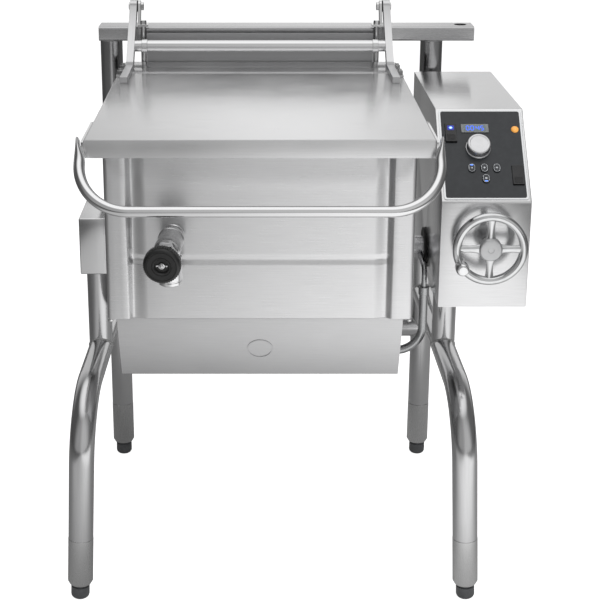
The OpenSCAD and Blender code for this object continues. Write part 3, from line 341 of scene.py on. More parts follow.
@dataclass(frozen=True)
class Moulded:
    """Moulded plastic or rubber with a light texture and a little dust in its gloss."""

    name: str
    slot: str
    colour: Colour
    gloss: Pair = (0.3, 0.42)
    texture: float = 2600.0
    depth: float = 0.00002
    coat: float = 0.0
    glow: float = 0.0
    dust_size: float = 55.0
    dust_range: Limits = (0.0, 1.0, 0.4, 0.75)
    dust_tone: Pair = (1.25, 0.006)

    def material(self) -> bpy.types.Material:
        """Build the material."""
        nodes = Nodes(self.name)
        place = nodes.coords()
        grain = nodes.noise(place, self.texture, 2.0)
        dust = nodes.noise(place, self.dust_size, 4.0, 0.65)
        dusty = dimmed(self.colour, *self.dust_tone)
        nodes.put("Base Color", nodes.mix(nodes.spread(dust, *self.dust_range), self.colour, dusty))
        nodes.put("Roughness", nodes.spread(dust, *self.gloss))
        nodes.bump(grain, self.depth)
        nodes.put("Coat Weight", self.coat)
        if self.glow:
            nodes.put("Emission Color", self.colour)
            nodes.put("Emission Strength", self.glow)
        return nodes.material


@dataclass(frozen=True)
class Wool:
    """Mineral wool: matt fibres in loose clumps."""

    name: str
    slot: str
    colour: Colour = (0.66, 0.60, 0.40)
    gloss: Pair = (0.85, 1.0)
    fibre: float = 700.0
    clump: float = 60.0
    depth: float = 0.0004
    stretch: Triple = (1.0, 0.2, 1.0)
    clump_shade: float = 0.7

    def material(self) -> bpy.types.Material:
        """Build the material."""
        nodes = Nodes(self.name)
        fibres = nodes.noise(nodes.coords(self.stretch), self.fibre, 6.0, 0.8)
        clumps = nodes.noise(nodes.coords(), self.clump, 3.0)
        nodes.put("Base Color", nodes.mix(clumps, dimmed(self.colour, self.clump_shade), self.colour))
        nodes.put("Roughness", nodes.spread(fibres, *self.gloss))
        nodes.bump(fibres, self.depth)
        return nodes.material


class Palette:
    """Every finish of the machine, each built once."""

    made: dict[str, bpy.types.Material] = {}
    finishes: dict[str, object] = {}

    @classmethod
    def load(cls, finishes: Iterable[object]) -> None:
        """Keep the finishes by name."""
        cls.finishes = {finish.name: finish for finish in finishes}

    @classmethod
    def get(cls, name: str) -> bpy.types.Material:
        """Give the material of a finish, building it at its first use."""
        if name not in cls.made:
            cls.made[name] = cls.finishes[name].material()
        return cls.made[name]

    @classmethod
    def slot(cls, name: str) -> str:
        """Give the record's slot that a finish stands for."""
        return cls.finishes[name].slot


# Steel: name, slot, colour, roughness from and to, anisotropy, grain per metre, depth in metres, smudging.
# Cast: name, slot, colour, roughness from and to, metallic, pebbles per metre, depth in metres.
# Moulded: name, slot, colour, roughness from and to, texture per metre, depth in metres, coat, glow.
FINISHES = (
    Steel("tube_steel", "tube", (0.62, 0.62, 0.625), (0.16, 0.22), 0.35),
    # A darker copy of the tube steel: painted shade for the crossbar's dark front.
    Steel("painted_shade_bar_steel", "tube", (0.50, 0.50, 0.505), (0.20, 0.28), 0.5),
    Steel("ferrule_steel", "ferrule", (0.62, 0.62, 0.62), (0.20, 0.30), 0.5),
    Steel("weld_steel", "tube", (0.55, 0.55, 0.55), (0.22, 0.34), 0.0, 900.0, 0.00003, 0.1),
    Steel("casing_steel", "sheet", (0.74, 0.74, 0.745), (0.26, 0.34), 0.7),
    Steel("box_steel", "sheet", (0.64, 0.64, 0.645), (0.34, 0.42), 0.6),
    Steel("console_steel", "sheet", (0.72, 0.72, 0.725), (0.17, 0.23), 0.6),
    # A darker copy of the sheet steel: painted shade for the hinge upright, which lies in shade and mirrors dark
    # surroundings.
    Steel("painted_shade_upright_steel", "sheet", (0.40, 0.40, 0.405), (0.28, 0.36), 0.6),
    Steel("lid_steel", "lid_steel", (0.76, 0.76, 0.765), (0.19, 0.25), 0.7),
    Steel("pan_steel", "pan_steel", (0.68, 0.68, 0.685), (0.26, 0.36), 0.6),
    Steel("polished_steel", "polished_steel", (0.76, 0.76, 0.765), (0.07, 0.11), 0.0, 260.0, 0.000002, 0.02),
    Steel("arm_steel", "arm_steel", (0.66, 0.66, 0.665), (0.26, 0.36), 0.4),
    Steel("fastener_steel", "fastener", (0.70, 0.70, 0.70), (0.12, 0.18), 0.0, 900.0, 0.000004, 0.04),
    Steel("machined_steel", "machined_steel", (0.52, 0.52, 0.53), (0.22, 0.30), 0.3),
    Steel("spun_aluminium", "spun_aluminium", (0.70, 0.70, 0.71), (0.26, 0.32), 0.8, 1500.0, 0.000004),
    Steel("bezel_aluminium", "bezel", (0.70, 0.71, 0.72), (0.18, 0.26), 0.4, 1200.0),
    Cast("cast_aluminium", "cast_aluminium", (0.72, 0.725, 0.73), (0.10, 0.16), 1.0, 260.0, 0.00001),
    Cast("cast_hub", "cast_aluminium", (0.60, 0.605, 0.61), (0.30, 0.45), 1.0, 420.0, 0.00025),
    Cast("cast_iron", "casting", (0.16, 0.165, 0.17), (0.5, 0.7), 0.6),
    Cast("bronze", "bronze", (0.55, 0.36, 0.14), (0.25, 0.4), 1.0, 900.0, 0.00002),
    Cast("valve_metal", "polished_steel", (0.58, 0.58, 0.585), (0.20, 0.32), 1.0, 500.0, 0.00002),
    Cast("sheathed_element", "element", (0.20, 0.11, 0.07), (0.5, 0.7), 0.7),
    Cast("conduit_skin", "conduit", (0.46, 0.465, 0.47), (0.22, 0.34), 1.0, 500.0, 0.00001),
    Moulded("foot_plastic", "foot", (0.085, 0.088, 0.092), (0.35, 0.5)),
    Moulded("seal_rubber", "rubber", (0.010, 0.010, 0.010), (0.45, 0.6)),
    Moulded("overlay_film", "overlay", (0.016, 0.018, 0.021), (0.30, 0.38), 3200.0, 0.000008),
    Moulded("switch_plastic", "black_plastic", (0.008, 0.008, 0.009), (0.14, 0.22)),
    Moulded("knob_plastic", "ribbed_plastic", (0.012, 0.012, 0.012), (0.26, 0.36)),
    Moulded("button_plastic", "button", (0.030, 0.033, 0.038), (0.28, 0.36)),
    Moulded("board_plastic", "board", (0.02, 0.13, 0.05), (0.35, 0.5)),
    Moulded("display_frame", "display", (0.20, 0.21, 0.215), (0.24, 0.34)),
    Moulded("display_film", "display", (0.10, 0.13, 0.13), (0.14, 0.2), 3000.0, 0.000006, 0.3, 0.3),
    Moulded("display_digit", "display", (0.03, 0.12, 1.0), (0.3, 0.4), glow=1.1),
    Moulded("icon_ink", "button", (0.62, 0.64, 0.66), (0.35, 0.45), 3000.0, 0.000002),
    Moulded("blue_light", "display", (0.10, 0.26, 1.0), (0.3, 0.4), glow=1.2),
    Moulded("blue_lens", "display", (0.01, 0.015, 0.22), (0.12, 0.2), 3000.0, 0.000006, 0.3, 0.6),
    Moulded("lamp_core", "display", (0.50, 0.58, 1.0), (0.3, 0.4), glow=1.7),
    Moulded("amber_lens", "amber", (0.80, 0.36, 0.07), (0.12, 0.2), 3000.0, 0.00001, 0.5, 0.3),
    Wool("mineral_wool", "wool"),
)


@dataclass
class Piece:
    """A finished piece: its mesh object, what it rides on and what it stands for."""

    name: str
    body: str
    finish: str
    replaces: Sequence[str] = ()

    def add(self, mesh: bpy.types.Mesh, bevel: float = 0.0, smooth: float = 35.0) -> bpy.types.Object:
        """Put a mesh into the scene as this piece.

        Args:
            mesh: the mesh, already in place in the frame.
            bevel: width of the rounding on its sharp edges, in millimetres.
            smooth: angle above which an edge stays sharp, in degrees.

        Returns:
            The piece's object.
        """
        piece = bpy.data.objects.new(self.name, mesh)
        bpy.context.scene.collection.objects.link(piece)
        if not mesh.materials:
            mesh.materials.append(Palette.get(self.finish))
        shade(mesh, smooth)
        if bevel:
            edge = piece.modifiers.new("rounded_edges", "BEVEL")
            edge.width, edge.segments = mm(bevel), 2
            edge.limit_method, edge.angle_limit = "ANGLE", math.radians(smooth)
            edge.use_clamp_overlap = edge.harden_normals = True
        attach(piece, self.body)
        if self.replaces:
            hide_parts(*self.replaces)
        Palette.slot(self.finish)
        log.info("%s rides on %s", self.name, self.body)
        return piece


@contextmanager
def editing(mesh: bpy.types.Mesh) -> Iterator[bmesh.types.BMesh]:
    """Open a mesh for editing and write it back afterwards."""
    shape = bmesh.new()
    shape.from_mesh(mesh)
    yield shape
    shape.to_mesh(mesh)
    shape.free()


def shade(mesh: bpy.types.Mesh, angle: float) -> None:
    """Shade a mesh smooth, with its edges sharp above an angle in degrees."""
    mesh.shade_smooth()
    with editing(mesh) as shape:
        for edge in shape.edges:
            edge.smooth = len(edge.link_faces) != 2 or edge.calc_face_angle(0.0) < math.radians(angle)


def lay_grain(shape: bmesh.types.BMesh, along: Along) -> None:
    """Give every face of a mesh a grain map whose first axis follows a direction.

    Args:
        shape: the mesh.
        along: the direction of the grain.
    """
    layer = shape.loops.layers.uv.get(GRAIN) or shape.loops.layers.uv.new(GRAIN)
    main = Vector(along.value)
    spare = Vector((main.z, main.x, main.y))
    for face in shape.faces:
        grain = main - face.normal * main.dot(face.normal)
        if grain.length < END_ON:
            grain = spare - face.normal * spare.dot(face.normal)
        grain.normalize()
        across = face.normal.cross(grain)
        for loop in face.loops:
            loop[layer].uv = (loop.vert.co.dot(grain), loop.vert.co.dot(across))


@dataclass(frozen=True)
class Round:
    """Edges to round: those that lie wholly between two corners, in millimetres."""

    low: Triple
    high: Triple
    width: float
    steps: int = 3
    flat_below: float = 20.0

    def cut(self, shape: bmesh.types.BMesh) -> None:
        """Round the edges of a mesh that is in the frame."""
        low, high = Space.at(*self.low), Space.at(*self.high)
        edges = [edge for edge in shape.edges if len(edge.link_faces) == 2
                 and edge.calc_face_angle(0.0) > math.radians(self.flat_below)
                 and all(low[n] <= vert.co[n] <= high[n] for vert in edge.verts for n in range(3))]
        soften(shape, edges, self.width, self.steps)


@dataclass(frozen=True)
class BoxEdges:
    """The twelve outer edges of a box-shaped solid, rounded."""

    width: float
    steps: int = 3

    def cut(self, shape: bmesh.types.BMesh) -> None:
        """Round the outer edges of a mesh."""
        box = reach(shape)

        def walls(vert: bmesh.types.BMVert) -> set[tuple[int, int]]:
            """Give the outer walls that a point lies on."""
            return {(n, end) for n in range(3) for end in (0, 1)
                    if abs(vert.co[n] - box[end][n]) < SAME_LEVEL}

        edges = [edge for edge in shape.edges if len(walls(edge.verts[0]) & walls(edge.verts[1])) >= 2]
        soften(shape, edges, self.width, self.steps)


def reach(shape: bmesh.types.BMesh) -> tuple[list[float], list[float]]:
    """Give the lowest and highest corners of a mesh."""
    return tuple([pick(vert.co[n] for vert in shape.verts) for n in range(3)] for pick in (min, max))


def soften(shape: bmesh.types.BMesh, edges: Sequence[bmesh.types.BMEdge], width: float, steps: int) -> None:
    """Round some edges of a mesh without letting any point leave its box.

    Args:
        shape: the mesh.
        edges: the edges.
        width: width of the rounding, in millimetres.
        steps: segments of the rounding.
    """
    low, high = reach(shape)
    bmesh.ops.bevel(shape, geom=edges, offset=mm(width), offset_type="OFFSET", segments=steps,
                    profile=0.5, affect="EDGES", clamp_overlap=False)
    for vert in shape.verts:
        for n in range(3):
            vert.co[n] = min(high[n], max(low[n], vert.co[n]))


def node_mesh(frame: dict, node: str, along: Along = Along.Z, rounds: Sequence[Round] = ()) -> bpy.types.Mesh:
    """Copy a solid's mesh, merged, with its flat faces whole and a grain map.

    Args:
        node: the solid's node.
        along: the direction of its grain.
        rounds: edges to round.

    Returns:
        The new mesh.
    """
    shape = bmesh.new()
    shape.from_mesh(frame["nodes"][node].data)
    bmesh.ops.remove_doubles(shape, verts=shape.verts, dist=SAME_POINT)
    bmesh.ops.dissolve_limit(shape, angle_limit=math.radians(SAME_FACE), verts=shape.verts, edges=shape.edges)
    for bend in rounds:
        bend.cut(shape)
    lay_grain(shape, along)
    mesh = bpy.data.meshes.new(node + "_form")
    shape.to_mesh(mesh)
    shape.free()
    mesh.materials.clear()
    return mesh


@dataclass
class Form:
    """A mesh in the making, in the maker's millimetres, with a map along its grain."""

    name: str
    shape: bmesh.types.BMesh = field(default_factory=bmesh.new)

    def ring(self, points: Iterable[Sequence[float]]) -> list[bmesh.types.BMVert]:
        """Add a row of points."""
        return [self.shape.verts.new(point) for point in points]

    def face(self, corners: Sequence[tuple[bmesh.types.BMVert, float, float]]) -> None:
        """Add a face from its corners, each a point with its place on the grain map in millimetres."""
        layer = self.shape.loops.layers.uv.get(GRAIN) or self.shape.loops.layers.uv.new(GRAIN)
        once = [c for n, c in enumerate(corners) if all(c[0] is not other[0] for other in corners[:n])]
        if len(once) > 2:
            for loop, corner in zip(self.shape.faces.new([c[0] for c in once]).loops, once):
                loop[layer].uv = (corner[1] * Space.scale, corner[2] * Space.scale)

    def skin(self, first: list, second: list, u: Pair = (0.0, 0.0), round_about: bool = False) -> None:
        """Join two closed rows of points with faces.

        Args:
            first: row of points.
            second: row of as many points.
            u: how far along the piece each row lies, in millimetres.
            round_about: the grain follows the rows instead of crossing them.
        """
        v = 0.0
        for here in range(len(first)):
            there = (here + 1) % len(first)
            step = max((first[here].co - first[there].co).length, (second[here].co - second[there].co).length)
            corners = [(first[here], u[0], v), (first[there], u[0], v + step),
                       (second[there], u[1], v + step), (second[here], u[1], v)]
            v += step
            self.face([(point, b, a) for point, a, b in corners] if round_about else corners)

    def cap(self, row: list) -> None:
        """Close a row of points with one face."""
        self.face([(vert, vert.co.x, vert.co.y + vert.co.z) for vert in row])

    def sweep(self, path: Sequence[Vector], section: Callable[[float], Sequence[Pair]], up: Vector) -> None:
        """Sweep a section along an open path that lies in one plane.

        Args:
            path: points of the path.
            section: gives the section's points at a share of the length, first across the plane.
            up: normal of the path's plane.
        """
        count = len(path)
        total = sum((path[n + 1] - path[n]).length for n in range(count - 1))
        rows, lengths, far = [], [], 0.0
        for n, point in enumerate(path):
            before, after = path[max(n - 1, 0)], path[min(n + 1, count - 1)]
            side = (after - before).normalized().cross(up).normalized()
            far += (point - before).length
            lengths.append(far)
            rows.append(self.ring(point + up * a + side * b for a, b in section(far / total)))
        for n in range(count - 1):
            self.skin(rows[n], rows[n + 1], (lengths[n], lengths[n + 1]))
        self.cap(rows[0])
        self.cap(rows[-1])

    def lathe(self, profile: Sequence[Pair], place: Matrix, count: int = 48) -> None:
        """Turn a profile about the local Z axis of a place, with the grain going round.

        Args:
            profile: radius and height of each point.
            place: where the axis stands.
            count: number of segments.
        """
        rows, far = [], 0.0
        for radius, height in profile:
            if radius < SAME_SPOT:
                rows.append(self.ring([place @ Vector((0.0, 0.0, height))]) * count)
            else:
                rows.append(self.ring(place @ Vector((radius * math.cos(a), radius * math.sin(a), height))
                                      for a in (2 * math.pi * n / count for n in range(count))))
        for n in range(len(rows) - 1):
            step = math.dist(profile[n], profile[n + 1])
            self.skin(rows[n], rows[n + 1], (far, far + step), round_about=True)
            far += step

    def prism(self, outline: Sequence[Pair], low: float, high: float, place: Matrix) -> None:
        """Raise an outline in a place's XY plane between two local heights."""
        bottom = self.ring(place @ Vector((x, y, low)) for x, y in outline)
        top = self.ring(place @ Vector((x, y, high)) for x, y in outline)
        self.skin(bottom, top, (low, high))
        self.cap(bottom)
        self.cap(top)

    def mesh(self) -> bpy.types.Mesh:
        """Finish the mesh in the frame, with its faces outwards."""
        bmesh.ops.remove_doubles(self.shape, verts=self.shape.verts, dist=SAME_SPOT)
        bmesh.ops.recalc_face_normals(self.shape, faces=self.shape.faces)
        bmesh.ops.transform(self.shape, matrix=Space.step(), verts=self.shape.verts)
        mesh = bpy.data.meshes.new(self.name)
        self.shape.to_mesh(mesh)
        self.shape.free()
        return mesh


def circle(radius: float, count: int) -> list[Pair]:
    """Give the points of a circle."""
    return oval(radius, radius, count)


def oval(wide: float, high: float, count: int) -> list[Pair]:
    """Give the points of an ellipse with two half-widths."""
    return [(wide * math.cos(a), high * math.sin(a)) for a in (2 * math.pi * n / count for n in range(count))]


def rounded(wide: float, high: float, corner: float, steps: int = 6) -> list[Pair]:
    """Give the points of a rectangle with round corners, centred on zero.

    Args:
        wide: its width.
        high: its height.
        corner: radius of its corners.
        steps: segments of each corner.

    Returns:
        The points, anticlockwise.
    """
    points = []
    for quarter, (sx, sy) in enumerate(((1, 1), (-1, 1), (-1, -1), (1, -1))):
        for n in range(steps + 1):
            a = math.pi / 2 * (quarter + n / steps)
            points.append((sx * (wide / 2 - corner) + corner * math.cos(a),
                           sy * (high / 2 - corner) + corner * math.sin(a)))
    return points


def turned(angle: float, axis: str) -> Matrix:
    """Give a turn by an angle in degrees about an axis."""
    return Matrix.Rotation(math.radians(angle), 4, axis)


def arc(centre: Vector, first: Vector, second: Vector, radius: float, steps: int) -> list[Vector]:
    """Give the points of a quarter circle from one direction to the other."""
    return [centre + (first * math.cos(a) + second * math.sin(a)) * radius
            for a in (math.pi / 2 * n / steps for n in range(steps + 1))]


def smooth(share: float) -> float:
    """Give a soft step from 0 to 1 for a share, held at both ends."""
    share = min(1.0, max(0.0, share))
    return share * share * (3.0 - 2.0 * share)


class PatternTree:
    """A Geometry Nodes tree that sets out copies of a small form, with named inputs for its sizes."""

    inputs: tuple[tuple[str, str], ...] = ()

    def __init__(self, name: str) -> None:
        """Build the tree with its inputs.

        Args:
            name: the tree's name.
        """
        self.tree = bpy.data.node_groups.new(name, "GeometryNodeTree")
        face = self.tree.interface
        self.sockets = {label: face.new_socket(label, in_out="INPUT", socket_type="NodeSocket" + kind).identifier
                        for label, kind in (("Carrier", "Geometry"), *self.inputs, ("Finish", "Material"))}
        face.new_socket("Made", in_out="OUTPUT", socket_type="NodeSocketGeometry")
        self.given = self.add("NodeGroupInput")
        spots = self.add("GeometryNodeInstanceOnPoints")
        self.grow(spots)
        real, paint = self.add("GeometryNodeRealizeInstances"), self.add("GeometryNodeSetMaterial")
        self.link(spots, "Instances", real, "Geometry")
        self.link(real, "Geometry", paint, "Geometry")
        self.link(self.given, "Finish", paint, "Material")
        self.link(paint, "Geometry", self.add("NodeGroupOutput"), "Made")

    def grow(self, spots: bpy.types.Node) -> None:
        """Make the points and the form that the tree sets on each of them."""
        raise NotImplementedError

    def add(self, kind: str) -> bpy.types.Node:
        """Add a node of a kind."""
        return self.tree.nodes.new(kind)

    def link(self, source: bpy.types.Node, out: str, target: bpy.types.Node, into: str | int) -> None:
        """Join a node's output to another node's input."""
        self.tree.links.new(source.outputs[out], target.inputs[into])

    def run(self, name: str, carried: bpy.types.Mesh, sizes: Sequence[float], finish: str, along: Along,
            place: Matrix) -> bpy.types.Mesh:
        """Run the tree on a mesh and keep what it makes as a plain mesh.

        Args:
            name: name of the new mesh.
            carried: the mesh that the tree reads, which is used up.
            sizes: the tree's inputs, in their order.
            finish: name of the finish.
            along: the direction of the grain.
            place: where the result goes in the frame.

        Returns:
            The new mesh.
        """
        carrier = bpy.data.objects.new(name + "_carrier", carried)
        bpy.context.scene.collection.objects.link(carrier)
        pattern = carrier.modifiers.new("pattern", "NODES")
        pattern.node_group = self.tree
        for (label, _), value in zip(self.inputs, sizes):
            pattern[self.sockets[label]] = value
        pattern[self.sockets["Finish"]] = Palette.get(finish)
        depsgraph = bpy.context.evaluated_depsgraph_get()
        mesh = bpy.data.meshes.new_from_object(carrier.evaluated_get(depsgraph), depsgraph=depsgraph)
        carrier.modifiers.clear()
        bpy.data.objects.remove(carrier)
        bpy.data.meshes.remove(carried)
        mesh.name = name
        mesh.transform(place)
        with editing(mesh) as shape:
            lay_grain(shape, along)
        return mesh


class BeadTree(PatternTree):
    """Geometry Nodes tree that sets small domes along a path, as in a weld seam."""

    inputs = (("Spacing", "Float"), ("Bead radius", "Float"), ("Bead height", "Float"))
    dome_cuts: int = 2

    def grow(self, spots: bpy.types.Node) -> None:
        """Set points along the carrier's edges and a flattened ball on each."""
        curve, resample = self.add("GeometryNodeMeshToCurve"), self.add("GeometryNodeResampleCurve")
        resample.mode = "LENGTH"
        dome, soft = self.add("GeometryNodeMeshIcoSphere"), self.add("GeometryNodeSetShadeSmooth")
        dome.inputs["Subdivisions"].default_value = self.dome_cuts
        size, ratio = self.add("ShaderNodeCombineXYZ"), self.add("ShaderNodeMath")
        ratio.operation = "DIVIDE"
        for axis in "XY":
            size.inputs[axis].default_value = 1.0
        self.link(self.given, "Carrier", curve, "Mesh")
        self.link(curve, "Curve", resample, "Curve")
        self.link(self.given, "Spacing", resample, "Length")
        self.link(resample, "Curve", spots, "Points")
        self.link(self.given, "Bead radius", dome, "Radius")
        self.link(dome, "Mesh", soft, "Geometry")
        self.link(soft, "Geometry", spots, "Instance")
        self.link(self.given, "Bead height", ratio, 0)
        self.link(self.given, "Bead radius", ratio, 1)
        self.link(ratio, "Value", size, "Z")
        self.link(size, "Vector", spots, "Scale")

    def make(self, name: str, paths: Sequence[Sequence[Vector]], sizes: Triple, finish: str) -> bpy.types.Mesh:
        """Set beads along closed paths.

        Args:
            name: name of the new mesh.
            paths: closed rows of points, in the maker's millimetres.
            sizes: distance between beads, a bead's radius and its half height along Z, in millimetres.
            finish: name of the beads' finish.

        Returns:
            The new mesh.
        """
        points, edges = [], []
        for path in paths:
            first = len(points)
            points += [Space.at(*point) for point in path]
            edges += [(first + n, first + (n + 1) % len(path)) for n in range(len(path))]
        lines = bpy.data.meshes.new(name + "_lines")
        lines.from_pydata(points, edges, [])
        return self.run(name, lines, [mm(size) for size in sizes], finish, Along.Z, Matrix.Identity(4))


class RibTree(PatternTree):
    """Geometry Nodes tree that stands round ribs on a circle, as on a knob's grip."""

    inputs = (("Count", "Int"), ("Circle radius", "Float"), ("Rib radius", "Float"), ("Rib length", "Float"))
    rib_sides: int = 12

    def grow(self, spots: bpy.types.Node) -> None:
        """Set points on a circle and a cylinder on each."""
        ring, rib = self.add("GeometryNodeMeshCircle"), self.add("GeometryNodeMeshCylinder")
        rib.inputs["Vertices"].default_value = self.rib_sides
        self.link(self.given, "Count", ring, "Vertices")
        self.link(self.given, "Circle radius", ring, "Radius")
        self.link(self.given, "Rib radius", rib, "Radius")
        self.link(self.given, "Rib length", rib, "Depth")
        self.link(ring, "Mesh", spots, "Points")
        self.link(rib, "Mesh", spots, "Instance")

    def make(self, name: str, place: Matrix, sizes: Limits, finish: str) -> bpy.types.Mesh:
        """Stand ribs on a circle.

        Args:
            name: name of the new mesh.
            place: where the middle of the circle stands, in the maker's millimetres.
            sizes: number of ribs, the circle's radius, a rib's radius and its length, in millimetres.
            finish: name of the ribs' finish.

        Returns:
            The new mesh.
        """
        blank = bpy.data.meshes.new(name + "_blank")
        return self.run(name, blank, sizes, finish, Along.Y, Space.step() @ place)


@dataclass
class Dressed:
    """A solid whose shape is right: it keeps its form and gets soft edges and a finish."""

    node: str
    body: str
    finish: str
    bevel: float = 0.6
    along: Along = Along.Z
    rounds: Sequence[Round] = ()
    smooth: float = 35.0

    def build(self, frame: dict) -> bpy.types.Object:
        """Make the dressed copy and let it stand for the solid."""
        piece = Piece(self.node + "_dressed", self.body, self.finish, (self.node,))
        return piece.add(node_mesh(frame, self.node, self.along, self.rounds), self.bevel, self.smooth)


def lathe_piece(name: str, body: str, finish: str, node: str, profile: Sequence[Pair], place: Matrix,
                count: int = 48, smooth: float = 30.0) -> None:
    """Turn a profile into a piece that stands for a node.

    Args:
        name: the piece's name.
        body: what it rides on.
        finish: its finish.
        node: the solid that it stands for.
        profile: radius and height of each point.
        place: where the axis stands.
        count: number of segments.
        smooth: angle above which an edge stays sharp, in degrees.
    """
    form = Form(name)
    form.lathe(profile, place, count)
    Piece(name, body, finish, (node,)).add(form.mesh(), smooth=smooth)


@dataclass
class Stand:
    """The tube stand: bent front legs and the weld seams where the tubes meet."""

    tube_r: float = 25.4
    run_z: float = 432.0
    bend_r: float = 130.0
    depth: float = 675.0
    splay: float = 2.6
    toe: float = 0.8
    side_x: Pair = (-343.5, 396.5)
    post_x: Pair = (-348.5, 401.5)
    axis_y: float = 315.0
    stretcher_z: float = 341.0
    bar_z: float = 1049.0
    ferrule_top: float = 138.0
    into_post: float = 8.0
    seam: Triple = (2.6, 2.3, 1.9)
    seam_points: int = 90
    tube_sides: int = 64
    back_steps: int = 6
    bend_steps: int = 24
    down_steps: int = 3

    def leaning(self, side: int) -> Matrix:
        """Give the place of a front leg, which leans out and toes out a little."""
        way = 1.0 if side == 0 else -1.0
        return (Matrix.Translation((self.side_x[side], self.depth, self.run_z))
                @ turned(-way * self.toe, "Z") @ turned(way * self.splay, "Y")
                @ Matrix.Translation((0.0, -self.depth, 0.0)))

    def leg(self, side: int) -> bpy.types.Mesh:
        """Make one front leg, swept from the rear post round the bend and down."""
        place, r = self.leaning(side), self.bend_r
        foot = (self.run_z - self.ferrule_top) / math.cos(math.radians(self.splay))
        start = self.depth - self.into_post
        back = [Vector((0.0, start - n * (start - r) / self.back_steps, 0.0)) for n in range(self.back_steps)]
        bend = arc(Vector((0.0, r, -r)), Vector((0, 0, 1)), Vector((0, -1, 0)), r, self.bend_steps)
        down = [Vector((0.0, 0.0, -r - (n + 1) * (foot - r) / self.down_steps)) for n in range(self.down_steps)]
        form = Form(f"leg_{side}")
        form.sweep([place @ point for point in back + bend + down],
                   lambda share: circle(self.tube_r, self.tube_sides), place.to_3x3() @ Vector((1.0, 0.0, 0.0)))
        return form.mesh()

    def seams(self) -> list[list[Vector]]:
        """Give the lines where tubes meet: runs on posts, posts on runs, stretcher and crossbar on posts."""
        lines = []
        ring = circle(self.tube_r, self.seam_points)
        for side, inward in ((0, 1), (1, -1)):
            place, x = self.leaning(side), self.side_x[side]
            lines += [
                [place @ Vector((a, self.depth - abs(b), b)) for a, b in ring],
                [Vector((self.post_x[side] + a, self.axis_y + b, self.run_z + abs(b))) for a, b in ring],
                [Vector((x + inward * abs(b), self.depth + a, self.stretcher_z + b)) for a, b in ring],
                [Vector((x + a, self.depth + b, self.bar_z)) for a, b in ring]]
        return lines

    def build(self, beads: BeadTree) -> None:
        """Make the legs and the seams."""
        for side, name in enumerate(("left", "right")):
            Piece(f"front_leg_{name}_tube", "stand", "tube_steel", (f"front_leg_{name}",)).add(self.leg(side))
        Piece("weld_seams", "stand", "weld_steel").add(
            beads.make("weld_seams", self.seams(), self.seam, "weld_steel"), smooth=80.0)


